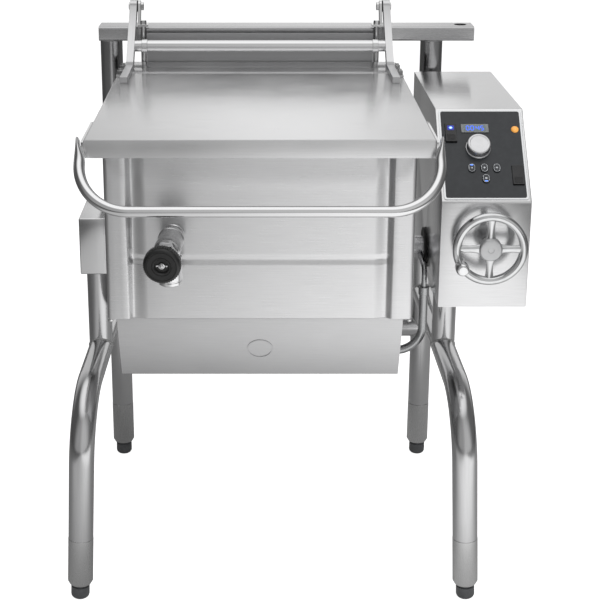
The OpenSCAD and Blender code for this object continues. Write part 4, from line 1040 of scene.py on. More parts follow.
@dataclass
class Casing:
    """The pan's casing: a wrapped sheet whose front lies back between two strips, with a groove across it."""

    half_width: float = 283.0
    front: float = -115.0
    back: float = 570.0
    bottom: float = 655.0
    top: float = 988.0
    sheet: float = 1.5
    corner: float = 8.0
    strip: float = 38.0
    inset: float = 4.0
    fold: float = 12.0
    fold_depth: float = 9.5
    settle: float = 26.0
    groove_z: float = 771.0
    groove_half: float = 11.0
    groove_depth: float = 2.4
    groove_rows: int = 20
    groove_step: float = 1.4
    hem: float = 3.0
    hem_steps: int = 4
    corner_steps: int = 6
    fold_steps: int = 10
    settle_steps: int = 8
    flat_steps: int = 12
    strip_steps: int = 3

    def recess(self, x: float) -> float:
        """Give how far the sheet lies behind the strips: it folds in sharply and comes back a little."""
        past = self.half_width - self.strip - abs(x)
        if past <= 0.0:
            return 0.0
        if past < self.fold:
            return self.fold_depth * smooth(past / self.fold)
        return self.fold_depth + (self.inset - self.fold_depth) * smooth((past - self.fold) / self.settle)

    def groove(self, z: float) -> float:
        """Give the groove's depth at a level."""
        off = abs(z - self.groove_z) / self.groove_half
        return self.groove_depth * 0.5 * (1.0 + math.cos(math.pi * off)) if off < 1.0 else 0.0

    def corner_at(self, x: float, y: float, r: float, start: float) -> list[Pair]:
        """Give the points of one round corner from its centre, radius and first angle."""
        angles = (math.radians(start + n * 90.0 / self.corner_steps) for n in range(self.corner_steps + 1))
        return [(x + r * math.cos(a), y + r * math.sin(a)) for a in angles]

    def front_run(self) -> list[float]:
        """Give the places across the front between the strips, close together in the folds."""
        edge = self.half_width - self.strip
        side = [self.fold * n / self.fold_steps for n in range(self.fold_steps)]
        side += [self.fold + self.settle * n / self.settle_steps for n in range(self.settle_steps + 1)]
        flat = edge - side[-1]
        middle = [flat * (2 * n / self.flat_steps - 1) for n in range(1, self.flat_steps)]
        return [d - edge for d in side[1:]] + middle + [edge - d for d in reversed(side)]

    def outline(self, z: float, inner: float) -> list[Pair]:
        """Give the casing's outline at a level, anticlockwise from the left front corner.

        Args:
            z: the level.
            inner: how far inside the outer skin.

        Returns:
            Points X, Y.
        """
        tuck = self.hem - math.sqrt(max(0.0, self.hem ** 2 - max(0.0, self.bottom + self.hem - z) ** 2))
        in_by = inner + tuck
        r = self.corner - in_by * 0.5
        x, y0, y1 = self.half_width - in_by - r, self.front + in_by, self.back - in_by - r
        edge = self.half_width - self.strip
        step = (x - edge) / self.strip_steps
        groove = self.groove(z)
        points = self.corner_at(-x, y0 + r, r, 180.0)
        points += [(-x + n * step, y0) for n in range(1, self.strip_steps + 1)]
        points += [(a, y0 + self.recess(a) + groove * smooth((edge - abs(a)) / self.fold)) for a in self.front_run()]
        points += [(edge + n * step, y0) for n in range(1, self.strip_steps)]
        for corner in ((x, y0 + r, r, 270.0), (x, y1, r, 0.0), (-x, y1, r, 90.0)):
            points += self.corner_at(*corner)
        return points

    def build(self) -> None:
        """Make the casing."""
        levels = [self.bottom + self.hem * n / self.hem_steps for n in range(self.hem_steps + 1)]
        levels += [self.groove_z + (n - self.groove_rows / 2) * self.groove_step
                   for n in range(self.groove_rows + 1)]
        levels.append(self.top)
        form = Form("casing")
        outer = [form.ring((x, y, z) for x, y in self.outline(z, 0.0)) for z in levels]
        low, high = (form.ring((x, y, z) for x, y in self.outline(z, self.sheet)) for z in (self.bottom, self.top))
        for first, second in zip(outer, outer[1:]):
            form.skin(first, second, (first[0].co.z, second[0].co.z), round_about=True)
        for first, second, wide in ((low, high, self.top - self.bottom), (outer[-1], high, self.sheet),
                                    (outer[0], low, self.sheet)):
            form.skin(first, second, (0.0, wide), round_about=True)
        Piece("pan_casing_wrapped", "pan", "casing_steel", ("pan_casing",)).add(form.mesh(), smooth=50.0)


@dataclass
class Lid:
    """The lid's sheet with its round bends and stiffening creases, and its bent handle."""

    top: float = 1006.8
    front: float = -150.0
    bend: float = 2.2
    creases: Pair = (473.0, 544.0)
    crease_half: float = 2.2
    crease_depth: float = 1.0
    beyond: Pair = (400.0, 900.0)
    slack: float = 0.1
    handle_x: float = 316.0
    handle_z: float = 989.8
    handle_slope: float = 48.0
    handle_reach: float = 120.0
    handle_r: float = 90.0
    tube_r: float = 10.0
    back_run: float = 20.0
    side_steps: int = 14
    bend_steps: int = 24
    tube_sides: int = 32
    flat_len: float = 46.0
    flat_shift: float = 5.2
    flat: Pair = (3.3, 13.5)
    strap: Triple = (160.0, 32.0, 4.5)
    strap_corner: float = 3.0
    strap_ahead: float = 10.0
    strap_x: float = 312.55

    def sheet(self, frame: dict) -> bpy.types.Mesh:
        """Copy the lid's solid, round its upper edges and press the creases into it."""
        x, y = self.beyond
        edges = Round((-x, -x, self.top - self.slack), (x, y, self.top + self.slack), self.bend)
        mesh = node_mesh(frame, "lid", Along.X, (edges,))
        level = mm(self.top) - SAME_LEVEL
        with editing(mesh) as shape:
            for crease in self.creases:
                for off in (-self.crease_half, 0.0, self.crease_half):
                    bmesh.ops.bisect_plane(shape, geom=shape.verts[:] + shape.edges[:] + shape.faces[:],
                                           plane_co=Space.at(0.0, crease + off, 0.0), plane_no=Along.Y.value)
                middle = Space.at(0.0, crease, 0.0).y
                for vert in shape.verts:
                    if vert.co.z > level and abs(vert.co.y - middle) < SAME_LEVEL:
                        vert.co.z -= mm(self.crease_depth)
            lay_grain(shape, Along.X)
        return mesh

    def handle(self) -> bpy.types.Mesh:
        """Sweep the handle's tube, flattened where it lies on its straps."""
        slope = math.radians(self.handle_slope)
        back = Vector((0.0, math.cos(slope), math.sin(slope)))
        start = Vector((0.0, self.front - self.tube_r, self.handle_z))
        leg = self.handle_reach - self.handle_r
        side: list[Vector] = []
        for n in range(self.side_steps + 1):
            run = n * (self.back_run + leg) / self.side_steps
            out = self.handle_x + (1.0 - self.swell(run)) * self.flat_shift
            side.append(start + back * (self.back_run - run) + Vector((-out, 0.0, 0.0)))
        centre = start - back * leg + Vector((self.handle_r - self.handle_x, 0.0, 0.0))
        side += arc(centre, Vector((-1.0, 0.0, 0.0)), -back, self.handle_r, self.bend_steps)[1:]
        path = side + [Vector((-p.x, p.y, p.z)) for p in reversed(side)]
        total = sum((path[n + 1] - path[n]).length for n in range(len(path) - 1))

        def section(share: float) -> list[Pair]:
            """Give the tube's section at a share of its length."""
            full = self.swell(min(share, 1.0 - share) * total)
            thin, wide = (flat + (self.tube_r - flat) * full for flat in self.flat)
            return oval(wide, thin, self.tube_sides)

        form = Form("handle_tube")
        form.sweep(path, section, Vector((0.0, -math.sin(slope), math.cos(slope))))
        return form.mesh()

    def swell(self, along: float) -> float:
        """Give how far the tube has its full section at a distance from its end, from 0 to 1."""
        return smooth(along / self.flat_len)

    def straps(self) -> bpy.types.Mesh:
        """Make the flat bars along the lid's sides."""
        length, high, thick = self.strap
        form = Form("handle_straps")
        for side in (-1, 1):
            middle = (side * self.strap_x, self.front - self.strap_ahead + length / 2, self.handle_z)
            place = Matrix.Translation(middle) @ turned(90, "Z") @ turned(90, "X")
            form.prism(rounded(length, high, self.strap_corner), -thick / 2, thick / 2, place)
        return form.mesh()

    def build(self, frame: dict) -> None:
        """Make the lid and its handle."""
        Piece("lid_sheet", "lid", "lid_steel", ("lid",)).add(self.sheet(frame), smooth=50.0)
        Piece("lid_handle_tube", "lid", "polished_steel", ("lid_handle",)).add(self.handle(), smooth=50.0)
        Piece("lid_handle_straps", "lid", "polished_steel", ("lid_handle",)).add(self.straps(), 0.8)


@dataclass
class Handwheel:
    """The cast handwheel: polished rim, four round tapered spokes and a rough flat hub."""

    centre: Triple = (445.0, 22.0, 749.0)
    rim_r: float = 64.5
    rim_tube_r: float = 8.5
    spoke_thick: Triple = (5.2, 4.2, 5.6)
    spoke_wide: Triple = (11.0, 7.0, 9.5)
    spoke_ends: Pair = (17.5, 62.5)
    spoke_steps: int = 14
    spoke_count: int = 4
    spoke_sides: int = 24
    rim_steps: tuple[int, int] = (32, 96)
    hub_steps: int = 64
    hub_profile: tuple[Pair, ...] = (
        (0.0, -10.0), (20.5, -10.0), (22.5, -8.0), (22.5, 6.5), (21.8, 8.6), (20.3, 9.7), (18.5, 10.0), (6.0, 10.0),
        (5.4, 9.1), (0.0, 9.1))

    def place(self) -> Matrix:
        """Give the wheel's place, its local Z pointing to the front."""
        return Matrix.Translation(self.centre) @ turned(90, "X")

    def build(self) -> None:
        """Make the rim, the spokes and the hub."""
        place = self.place()
        rim = Form("wheel_rim")
        tube = circle(self.rim_tube_r, self.rim_steps[0])
        rim.lathe([(self.rim_r + a, b) for a, b in tube + tube[:1]], place, self.rim_steps[1])
        Piece("handwheel_rim", "handwheel", "cast_aluminium", ("handwheel",)).add(rim.mesh(), smooth=60.0)
        spokes = Form("wheel_spokes")
        up = place.to_3x3() @ Vector((0.0, 0.0, 1.0))
        first, last = self.spoke_ends
        steps = [first + (last - first) * k / self.spoke_steps for k in range(self.spoke_steps + 1)]
        for n in range(self.spoke_count):
            about = place @ turned(360 * n / self.spoke_count, "Z")
            spokes.sweep([about @ Vector((step, 0.0, 0.0)) for step in steps], self.spoke, up)
        Piece("handwheel_spokes", "handwheel", "cast_aluminium", ("handwheel",)).add(spokes.mesh(), smooth=60.0)
        hub = Form("wheel_hub")
        hub.lathe(self.hub_profile, place, self.hub_steps)
        Piece("handwheel_hub", "handwheel", "cast_hub", ("handwheel",)).add(hub.mesh(), smooth=40.0)

    def spoke(self, share: float) -> list[Pair]:
        """Give a spoke's section, thick at the hub, slim in the middle and flared at the rim."""
        bow = (1.0 - 2.0 * share) ** 2
        end = 0 if share < 0.5 else 2
        thick, wide = (sizes[1] + (sizes[end] - sizes[1]) * bow for sizes in (self.spoke_thick, self.spoke_wide))
        return oval(thick, wide, self.spoke_sides)


@dataclass
class Valve:
    """The draw-off valve: polished collar, cast body, hexagon, outlet and ribbed knob."""

    origin: Triple = (-158.0, -111.0, 822.0)
    tilt: float = 5.0
    yaw: float = 4.5
    body_start: float = 24.0
    body_len: float = 64.0
    hex_flats: float = 38.0
    hex_len: float = 18.0
    hex_bevel: float = 1.4
    knob_start: float = 120.3
    ribs_at: float = 22.4
    rib_sizes: tuple[int, float, float, float] = (48, 32.0, 1.3, 13.6)
    wing_at: Triple = (8.4, 0.0, 28.4)
    collar_profile: tuple[Pair, ...] = (
        (17.0, -17.0), (17.0, 2.8), (19.0, 2.8), (20.0, 3.6), (20.0, 7.4), (19.2, 8.4), (17.0, 8.6), (17.0, 24.0),
        (13.0, 24.0), (13.0, -17.0), (17.0, -17.0))
    body_profile: tuple[Pair, ...] = (
        (0.0, 0.0), (21.0, 0.0), (23.6, 0.8), (24.0, 2.4), (24.0, 9.0), (22.8, 10.2), (22.4, 12.0), (22.4, 44.0),
        (23.0, 45.5), (24.0, 47.0), (24.0, 58.0), (23.0, 61.5), (20.5, 63.6), (0.0, 64.0))
    spout_profile: tuple[Pair, ...] = (
        (22.0, 21.3), (22.0, 64.0), (21.4, 65.0), (21.4, 66.4), (22.0, 67.4), (22.0, 72.2), (21.2, 73.3),
        (19.8, 73.3), (19.0, 72.4), (19.0, 21.3), (22.0, 21.3))
    knob_profile: tuple[Pair, ...] = (
        (6.4, 0.0), (15.0, 0.0), (17.0, 1.0), (17.6, 7.0), (20.0, 10.0), (28.6, 12.6), (31.2, 13.8), (32.2, 15.6),
        (32.2, 29.8), (31.4, 31.8), (29.6, 33.4), (28.0, 33.9), (27.2, 34.0), (26.8, 33.0), (25.6, 33.0),
        (25.2, 34.0), (17.8, 34.0), (17.2, 33.0), (16.1, 33.0), (15.6, 34.0), (14.2, 34.0), (13.0, 32.8),
        (12.4, 28.2), (6.4, 28.2), (6.4, 0.0))
    screw_profile: tuple[Pair, ...] = (
        (0.0, 27.0), (6.2, 27.0), (6.2, 30.4), (5.4, 31.6), (4.2, 31.9), (3.4, 31.2), (3.2, 32.6), (2.2, 33.6),
        (0.0, 33.9))
    wing_profile: tuple[Pair, ...] = ((0.0, -0.4), (2.4, -0.4), (2.4, 1.2), (1.6, 2.3), (0.0, 2.7))

    def place(self, along: float = 0.0) -> Matrix:
        """Give the valve's place, its local Z pointing to the front, at a distance along it."""
        return (Matrix.Translation(self.origin) @ turned(-self.yaw, "Z") @ turned(self.tilt, "X") @ turned(90, "X")
                @ Matrix.Translation((0.0, 0.0, along)))

    def body(self) -> None:
        """Make the collar, the body, the hexagon and the outlet."""
        start, down = self.place(self.body_start), self.place(self.body_start + self.body_len / 2) @ turned(90, "X")
        lathe_piece("drain_nipple_turned", "pan", "polished_steel", "drain_nipple", self.collar_profile, self.place())
        lathe_piece("valve_body_cast", "pan", "valve_metal", "valve_body", self.body_profile, start, 56)
        bonnet = Form("valve_bonnet")
        corner_r = self.hex_flats / 2 / math.cos(math.pi / 6)
        bonnet.prism(circle(corner_r, 6), 0.0, self.hex_len, self.place(self.body_start + self.body_len))
        Piece("valve_bonnet", "pan", "polished_steel", ("valve_body",)).add(bonnet.mesh(), self.hex_bevel)
        lathe_piece("valve_outlet_turned", "pan", "polished_steel", "valve_outlet", self.spout_profile, down)

    def knob(self, ribs: RibTree) -> None:
        """Make the knob, its ribs and the screw in its dish."""
        place = self.place(self.knob_start)
        lathe_piece("valve_knob_grip", "valve_handle", "knob_plastic", "valve_knob", self.knob_profile, place, 72,
                    28.0)
        middle = self.place(self.knob_start + self.ribs_at)
        grip = ribs.make("knob_ribs", middle, self.rib_sizes, "knob_plastic")
        Piece("valve_knob_ribs", "valve_handle", "knob_plastic", ("valve_knob",)).add(grip)
        screw = Form("knob_screw")
        screw.lathe(self.screw_profile, place, 40)
        for angle in (0, 180):
            screw.lathe(self.wing_profile, place @ turned(angle, "Z") @ Matrix.Translation(self.wing_at), 20)
        Piece("valve_knob_screw", "valve_handle", "polished_steel", ("valve_knob",)).add(screw.mesh(), smooth=40.0)

    def build(self, ribs: RibTree) -> None:
        """Make the whole valve."""
        self.body()
        self.knob(ribs)


class Sign(Enum):
    """A plain sign on a button, by the points of its outline in millimetres."""

    UP = ((-2.2, -1.4), (2.2, -1.4), (0.0, 2.0))
    DOWN = ((-2.2, 1.4), (0.0, -2.0), (2.2, 1.4))
    DOT = tuple(circle(1.8, 16))
    BAR = ((-2.2, -1.5), (2.2, -1.5), (2.2, 1.5), (-2.2, 1.5))


@dataclass
class ControlPanel:
    """What is worked and lit on the console's sloping panel."""

    corner: Triple = (354.0, 71.0, 829.0)
    angle: float = 44.81
    size: Pair = (176.0, 217.08)
    plate_corners: tuple[tuple[str, str, float, float], ...] = (
        ("control_panel", "bezel_aluminium", 5.0, 5.0), ("panel_overlay", "overlay_film", 9.0, 4.0))
    plate_half: float = 1.5
    near: float = 2.5
    corner_steps: int = 5
    dial_share: Pair = (0.45, 0.56)
    dial_profile: tuple[Pair, ...] = (
        (0.0, -18.0), (4.0, -18.0), (4.0, 3.3), (24.4, 3.3), (25.0, 3.9), (25.0, 5.4), (24.3, 6.1), (23.5, 6.4),
        (23.0, 18.6), (22.5, 20.0), (21.4, 20.9), (20.0, 21.3), (18.6, 21.2), (17.6, 20.7), (0.0, 20.5))
    display_off: Pair = (-3.5, 45.6)
    glass: Triple = (44.0, 14.5, 1.2)
    glass_levels: Pair = (5.0, 5.25)
    digit_levels: Pair = (5.2, 5.42)
    digit: Triple = (5.6, 4.9, 1.15)
    digit_pitch: float = 9.0
    digit_apart: float = 0.9
    digit_corner: float = 0.3
    upright_share: float = 0.6
    dot: Pair = (1.2, 2.0)
    power_share: Pair = (0.155, 0.72)
    tilt_share: Pair = (0.87, 0.27)
    lamp_share: Pair = (0.885, 0.76)
    lamp_profile: tuple[Pair, ...] = (
        (0.0, 3.0), (7.5, 3.0), (7.5, 4.0), (7.1, 4.9), (5.8, 5.9), (3.6, 6.7), (0.0, 7.0))
    button_share: Pair = (0.50, 0.345)
    button_top: float = 6.0
    ink: Pair = (0.05, 0.12)
    rings: tuple[Triple, Triple] = ((12.2, 17.0, 5.4), (11.0, 15.8, 4.8))
    light: Triple = (6.0, 2.0, 0.9)
    light_top: float = 0.1
    power_tip: float = -4.0
    rocker_slope: float = 4.5
    ridge: Triple = (16.0, 1.4, 0.5)
    ridge_levels: Pair = (-0.3, 0.7)
    ridge_count: int = 5
    ridge_start: Pair = (-5.0, 4.7)
    ridge_pitch: float = 3.0
    ridge_rise: float = 0.0795
    window: Triple = (14.0, 11.0, 1.6)
    window_at: Triple = (0.0, 11.5, 5.66)
    window_levels: Pair = (-0.3, 0.35)
    glows: tuple[tuple[str, str, Triple, float], ...] = (
        ("halo", "blue_light", (7.4, 5.92, 2.96), 0.4), ("core", "lamp_core", (3.8, 3.04, 1.52), 0.45))
    buttons: tuple[tuple[str, float, float, Sign, float], ...] = (
        ("left", -24.6, 0.0, Sign.UP, 6.2), ("middle", 0.0, 0.0, Sign.DOT, 0.0),
        ("right", 24.6, 0.0, Sign.DOWN, 0.0), ("lower", 1.8, -23.9, Sign.BAR, -6.2))
    segments: tuple[tuple[float, float, bool], ...] = (
        (0.0, 1.0, True), (0.5, 0.5, False), (0.5, -0.5, False), (0.0, -1.0, True), (-0.5, -0.5, False),
        (-0.5, 0.5, False), (0.0, 0.0, True))
    lit: tuple[tuple[int, ...], ...] = ((0, 1, 2, 3, 4, 5), (0, 1, 2, 3, 4, 5), (1, 2, 5, 6), (0, 2, 3, 5, 6))

    def place(self, share: Pair, off: Pair = (0.0, 0.0), up: float = 0.0) -> Matrix:
        """Give a place on the panel, its local Z standing off it.

        Args:
            share: place as shares of the panel's width and length.
            off: shift from there, in millimetres.
            up: height over the panel's sheet.

        Returns:
            The place.
        """
        return (Matrix.Translation(self.corner) @ Matrix.Translation((share[0] * self.size[0], 0.0, 0.0))
                @ turned(self.angle, "X") @ Matrix.Translation((off[0], share[1] * self.size[1] + off[1], up)))

    def plates(self, frame: dict) -> None:
        """Dress the bezel and the overlay with round corners."""
        reach_out = Vector((self.near,) * 3)
        for node, finish, margin, round_r in self.plate_corners:
            rounds = []
            for x in (margin, self.size[0] - margin):
                for y in (margin, self.size[1] - margin):
                    spot = self.place((0.0, 0.0), (x, y), self.plate_half).translation
                    rounds.append(Round(tuple(spot - reach_out), tuple(spot + reach_out), round_r,
                                        self.corner_steps))
            piece = Piece(node + "_dressed", "stand", finish, (node,))
            piece.add(node_mesh(frame, node, Along.X, rounds), bevel=0.4, smooth=30.0)

    def dial(self) -> None:
        """Turn the dial, spun on its face and side."""
        lathe_piece("control_knob_spun", "control_knob", "spun_aluminium", "control_knob", self.dial_profile,
                    self.place(self.dial_share), 96, 24.0)

    def display(self, frame: dict) -> None:
        """Make the display's frame, its glass and its digits."""
        Dressed("display_window", "stand", "display_frame", 1.2).build(frame)
        glass = Form("display_glass")
        glass.prism(rounded(*self.glass), *self.glass_levels, self.place(self.dial_share, self.display_off))
        Piece("display_glass", "stand", "display_film").add(glass.mesh())
        digits = Form("display_digits")
        wide, high, line = self.digit
        marks: list[tuple[float, float, Pair]] = []
        for n, shown in enumerate(self.lit):
            middle = (n - 1.5) * self.digit_pitch + (-self.digit_apart if n < 2 else self.digit_apart)
            for x, y, flat in (self.segments[k] for k in shown):
                size = (wide - line, line) if flat else (line, high - line * self.upright_share)
                marks.append((middle + x * wide, y * high, size))
        marks += [(0.0, way * self.dot[1], (self.dot[0],) * 2) for way in (-1, 1)]
        for x, y, size in marks:
            spot = (self.display_off[0] + x, self.display_off[1] + y)
            digits.prism(rounded(*size, self.digit_corner, 1), *self.digit_levels, self.place(self.dial_share, spot))
        Piece("display_digits", "stand", "display_digit").add(digits.mesh())

    def rockers(self) -> None:
        """Lay ridges on the rockers' lower halves and a lit window on the power switch."""
        for body, share, tip in (("power_switch", self.power_share, self.power_tip),
                                 ("tilt_switch", self.tilt_share, 0.0)):
            middle = self.place(share) @ turned(tip, "X")
            ridges = Form(body + "_ridges")
            for n in range(self.ridge_count):
                y = self.ridge_start[0] - self.ridge_pitch * n
                spot = Matrix.Translation((0.0, y, self.ridge_start[1] - self.ridge_rise * y))
                ridges.prism(rounded(*self.ridge, 3), *self.ridge_levels,
                             middle @ spot @ turned(-self.rocker_slope, "X"))
            Piece(body + "_ridges", body, "switch_plastic").add(ridges.mesh(), 0.3)
            if tip:
                self.lit_window(body, middle @ Matrix.Translation(self.window_at) @ turned(self.rocker_slope, "X"))

    def lit_window(self, body: str, place: Matrix) -> None:
        """Make a switch's window, with its light's halo and core."""
        low, high = self.window_levels
        window = Form("power_window")
        window.prism(rounded(*self.window), low, high, place)
        Piece(f"{body}_window", body, "blue_lens").add(window.mesh(), 0.2)
        for name, finish, size, top in self.glows:
            glow = Form("power_" + name)
            glow.prism(rounded(*size), low, top, place)
            Piece(f"{body}_{name}", body, finish).add(glow.mesh())

    def signs(self) -> None:
        """Print an outline and a plain sign on every button, with a light on two of them."""
        low, high = self.button_top - self.ink[0], self.button_top + self.ink[1]
        outer, inner = (rounded(*ring) for ring in self.rings)
        for name, x, y, sign, light in self.buttons:
            place = self.place(self.button_share, (x, y))
            ink = Form(f"sign_{name}")
            rows = [ink.ring(place @ Vector((a, b, h)) for a, b in loop) for loop, h in
                    ((outer, low), (outer, high), (inner, high), (inner, low))]
            for first, second in zip(rows, rows[1:] + rows[:1]):
                ink.skin(first, second)
            ink.prism(sign.value, low, high, place)
            Piece(f"button_{name}_sign", f"button_{name}", "icon_ink").add(ink.mesh())
            if light:
                lamp = Form(f"light_{name}")
                lamp.prism(rounded(*self.light, 4), low, high + self.light_top,
                           place @ Matrix.Translation((0.0, light, 0.0)))
                Piece(f"button_{name}_light", f"button_{name}", "blue_light").add(lamp.mesh())

    def lamp(self) -> None:
        """Turn the amber lamp's domed lens."""
        lathe_piece("amber_lamp_lens", "stand", "amber_lens", "amber_lamp", self.lamp_profile,
                    self.place(self.lamp_share), 40, 40.0)

    def build(self, frame: dict) -> None:
        """Make everything on the panel."""
        self.plates(frame)
        self.dial()
        self.display(frame)
        self.rockers()
        self.signs()
        self.lamp()


CONSOLE_BENDS = (
    Round((353.0, 70.0, 828.0), (531.0, 72.0, 830.0), 2.5),
    Round((353.0, 224.0, 981.0), (531.0, 226.0, 983.0), 2.5),
    Round((353.0, 69.0, 611.0), (355.0, 629.0, 983.0), 1.2),
    Round((529.0, 69.0, 611.0), (531.0, 629.0, 983.0), 1.2),
)

# Node, what it rides on, finish, bevel in millimetres, direction of the grain, edges to round.
DRESSED = (
    Dressed("rear_posts", "stand", "tube_steel", 0.5),
    Dressed("trunnion_posts", "stand", "tube_steel", 0.0),
    # Painted shade: the crossbar takes the darker copy of the tube steel.
    Dressed("rear_crossbar", "stand", "painted_shade_bar_steel", 0.0, Along.X),
    Dressed("rear_stretcher", "stand", "tube_steel", 0.0, Along.X),
    Dressed("leg_ferrules", "stand", "ferrule_steel", 0.8),
    *(Dressed(foot, foot, "foot_plastic") for foot in
      ("foot_front_left", "foot_front_right", "foot_rear_left", "foot_rear_right")),
    Dressed("left_housing", "stand", "console_steel", 0.0, rounds=(BoxEdges(2.5),)),
    Dressed("trunnion_bearings", "stand", "cast_iron", 1.0),
    Dressed("shaft_seals", "stand", "seal_rubber", 1.0),
    Dressed("console_shell", "stand", "console_steel", 0.0, Along.X, CONSOLE_BENDS),
    Dressed("console_back", "stand", "console_steel", 0.4),
    Dressed("console_base", "stand", "console_steel", 0.4),
    Dressed("control_board", "stand", "board_plastic", 0.4),
    Dressed("worm_bearings", "stand", "cast_iron", 1.0),
    *(Dressed(switch, switch, "switch_plastic") for switch in ("power_switch", "tilt_switch")),
    *(Dressed(button, button, "button_plastic", 0.8) for button in
      ("button_left", "button_middle", "button_right", "button_lower")),
    Dressed("worm_shaft", "handwheel", "machined_steel", 0.0),
    Dressed("crank_pin", "handwheel", "polished_steel", 0.3),
    Dressed("crank_knob", "crank_knob", "polished_steel", 0.0),
    Dressed("pan_tank", "pan", "pan_steel", 0.8, Along.X),
    Dressed("heating_plate", "pan", "cast_iron", 1.5),
    Dressed("heater_elements", "pan", "sheathed_element", 0.5),
    Dressed("insulation", "pan", "mineral_wool", 3.0),
    Dressed("pan_cradle", "pan", "cast_iron", 1.0),
    Dressed("heater_box", "pan", "box_steel", 0.0, Along.X, (Round((-268, -41, 513), (268, -39, 515), 3.0),)),
    Dressed("casing_screws", "pan", "fastener_steel", 1.2),
    Dressed("trunnion_shaft", "pan", "machined_steel", 0.6, Along.Y),
    Dressed("worm_gear", "pan", "bronze", 0.2),
    Dressed("strainer", "pan", "pan_steel", 0.3, Along.X),
    # Painted shade: the hinge upright takes the darker copy of the sheet steel.
    Dressed("hinge_box", "pan", "painted_shade_upright_steel", 0.6, Along.X),
    Dressed("hinge_plates", "pan", "fastener_steel", 0.5),
    Dressed("conduit", "pan", "conduit_skin", 0.3),
    Dressed("valve_stem", "valve_handle", "machined_steel", 0.3),
    Dressed("lid_arms", "lid", "arm_steel", 1.6, Along.Z),
    Dressed("tie_tube", "lid", "polished_steel", 0.5, Along.X),
    Dressed("lid_bolts", "lid", "fastener_steel", 0.4),
    Dressed("hinge_pins", "pan", "fastener_steel", 0.4),
    Dressed("hinge_washers", "pan", "seal_rubber", 0.3),
)


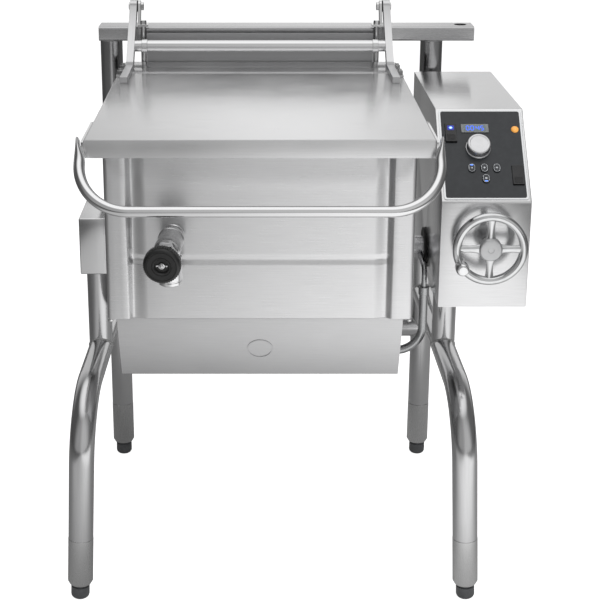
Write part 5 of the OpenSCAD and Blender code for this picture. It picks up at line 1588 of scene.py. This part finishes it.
@dataclass
class Studio:
    """Floor, world, soft lamps and the camera."""

    focal: float = 84.0
    pitch: float = 17.26
    distance: float = 2551.6
    height: float = 1577.0
    sensor: float = 36.0
    shift: Pair = (0.0667, -0.1083)
    clip: Pair = (0.05, 60.0)
    ambient: float = 0.20
    floor_glow: float = 0.92
    lamps: tuple[tuple[str, Triple, Triple, float, float], ...] = (
        ("key", (1.3, -2.7, 2.7), (0.1, -0.2, 0.6), 2.2, 60.0),
        ("fill", (-2.2, -1.6, 2.2), (0.0, 0.1, 0.5), 2.0, 9.0),
        ("top", (0.1, 0.1, 3.2), (0.0, 0.1, 0.8), 2.4, 22.0),
    )
    # Painted pool of light on the floor, seen only in reflections: brighter to the right, fading far off, and dimmed
    # to painted shadow near the machine.
    painted_light_pool: tuple[tuple[str, Limits], ...] = (
        ("X", (-0.75, 0.45, 0.38, 1.0)), ("X", (1.4, 2.2, 1.0, 0.12)), ("X", (-1.8, -1.0, 0.1, 1.0)),
        ("Y", (-0.72, -0.05, 1.0, 0.2)), ("Y", (-9.0, -5.6, 0.35, 1.0)))
    floor_half: float = 30.0
    floor_colour: Colour = (0.93, 0.93, 0.93)
    floor_gloss: float = 0.9
    # The paper as metal sees it is painted darker, as painted shade for a dimly lit floor.
    floor_shade: float = 0.28
    behind: tuple[tuple[str, Limits], ...] = (
        ("Y", (0.35, 0.9, 0.16, 1.04)), ("X", (-0.22, 0.04, 0.66, 1.0)), ("X", (0.07, 0.17, 1.0, 0.78)))
    ahead: tuple[tuple[str, Limits], ...] = (
        ("Y", (-0.8, -0.2, 0.66, 0.16)), ("X", (-0.3, 0.12, 0.62, 1.0)))
    above: tuple[tuple[str, Limits], ...] = (("Z", (0.62, 0.95, 0.0, 1.2)),)

    def camera(self) -> None:
        """Make the camera at the photograph's place."""
        data = bpy.data.cameras.new("camera")
        data.lens, data.sensor_width = self.focal, self.sensor
        data.shift_x, data.shift_y = self.shift
        data.clip_start, data.clip_end = self.clip
        camera = bpy.data.objects.new("camera", data)
        camera.location = Space.at(0.0, -self.distance, self.height)
        camera.rotation_euler = (math.radians(90.0 - self.pitch), 0.0, 0.0)
        bpy.context.scene.collection.objects.link(camera)
        bpy.context.scene.camera = camera

    def light(self) -> None:
        """Make the soft lamps."""
        for name, place, aim, size, power in self.lamps:
            data = bpy.data.lights.new(name, "AREA")
            data.shape, data.size, data.energy = "SQUARE", size, power
            self.aim(bpy.data.objects.new(name, data), place, aim)

    def aim(self, lamp: bpy.types.Object, place: Triple, aim: Triple) -> None:
        """Put a lamp in its place, aimed, and leave it out of mirror images."""
        lamp.location = place
        lamp.rotation_euler = (Vector(aim) - Vector(place)).to_track_quat("-Z", "Y").to_euler()
        lamp.visible_glossy = False
        bpy.context.scene.collection.objects.link(lamp)

    def product(self, sums: Sums, split: bpy.types.Node, ramps: Sequence[tuple[str, Limits]]) -> Socket:
        """Give the product of some ramps, each along an axis of a split vector."""
        values = (sums.ramp(split.outputs[axis], *limits) for axis, limits in ramps)
        return reduce(lambda total, value: sums.join("MULTIPLY", total, value), values)

    def world(self) -> None:
        """Make the world: white to the eye, and to metal a room with a bright ceiling and backdrop."""
        world = bpy.data.worlds.new("studio")
        world.use_nodes = True
        sums = Sums(world.node_tree)

        def background(strength: float) -> bpy.types.Node:
            """Add a white background of a strength."""
            node = sums.add("ShaderNodeBackground")
            node.inputs["Color"].default_value = (1.0, 1.0, 1.0, 1.0)
            node.inputs["Strength"].default_value = strength
            return node

        place, split = sums.add("ShaderNodeTexCoord"), sums.add("ShaderNodeSeparateXYZ")
        sums.link(place.outputs["Generated"], split.inputs["Vector"])
        behind, ahead, above = (self.product(sums, split, ramps) for ramps in (self.behind, self.ahead, self.above))
        shown = background(1.0)
        sums.link(sums.join("MAXIMUM", sums.join("MAXIMUM", behind, ahead), above), shown.inputs["Strength"])
        path = sums.add("ShaderNodeLightPath")
        seen = sums.join("MAXIMUM", path.outputs["Is Camera Ray"], path.outputs["Is Transmission Ray"])
        surface = background(self.ambient).outputs[0]
        for ray, sky in ((path.outputs["Is Glossy Ray"], shown), (seen, background(1.0))):
            surface = sums.choose(ray, surface, sky.outputs[0])
        sums.link(surface, sums.add("ShaderNodeOutputWorld").inputs["Surface"])
        bpy.context.scene.world = world
        bpy.context.scene.view_settings.view_transform = "Standard"

    def floor(self) -> None:
        """Make the pale floor, lifted to white for the camera. To metal it shows darker paper with a painted pool of
        light, brightest to the front right and fading to painted shadow near the machine.
        """
        mesh = bpy.data.meshes.new("floor")
        half = self.floor_half
        mesh.from_pydata([(-half, -half, 0), (half, -half, 0), (half, half, 0), (-half, half, 0)], [], [(0, 1, 2, 3)])
        floor = bpy.data.objects.new("floor", mesh)
        bpy.context.scene.collection.objects.link(floor)
        nodes = Nodes("floor_paper")
        nodes.put("Base Color", self.floor_colour)
        nodes.put("Roughness", self.floor_gloss)
        painted_shade_paper = nodes.add("ShaderNodeBsdfDiffuse")
        painted_shade_paper.inputs["Color"].default_value = (*(self.floor_shade,) * 3, 1.0)
        split, path = nodes.add("ShaderNodeSeparateXYZ"), nodes.add("ShaderNodeLightPath")
        nodes.link(nodes.add("ShaderNodeTexCoord").outputs["Object"], split.inputs["Vector"])
        painted_pool_glow, seen = nodes.add("ShaderNodeEmission"), nodes.add("ShaderNodeEmission")
        # Painted light: the pool's glow, which only reflections see.
        nodes.link(self.product(nodes, split, self.painted_light_pool), painted_pool_glow.inputs["Strength"])
        seen.inputs["Strength"].default_value = self.floor_glow
        surface = paper = nodes.shader.outputs["BSDF"]
        for ray, base, glow in (("Is Glossy Ray", painted_shade_paper.outputs[0], painted_pool_glow), ("Is Camera Ray", paper, seen)):
            both = nodes.add("ShaderNodeAddShader")
            nodes.link(base, both.inputs[0])
            nodes.link(glow.outputs[0], both.inputs[1])
            surface = nodes.choose(path.outputs[ray], surface, both.outputs[0])
        nodes.link(surface, nodes.output.inputs["Surface"])
        mesh.materials.append(nodes.material)

    def build(self) -> None:
        """Make the whole studio."""
        self.camera()
        self.light()
        self.world()
        self.floor()


def main() -> None:
    """Build the scene's pieces in order."""
    logging.basicConfig(level=logging.INFO, format="%(name)s: %(message)s")
    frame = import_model()
    Space.find()
    Palette.load(FINISHES)
    Studio().build()
    for dressed in DRESSED:
        dressed.build(frame)
    Stand().build(BeadTree("weld_beads"))
    Casing().build()
    Lid().build(frame)
    Handwheel().build()
    Valve().build(RibTree("grip_ribs"))
    ControlPanel().build(frame)
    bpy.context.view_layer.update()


if __name__ == "__main__":
    main()
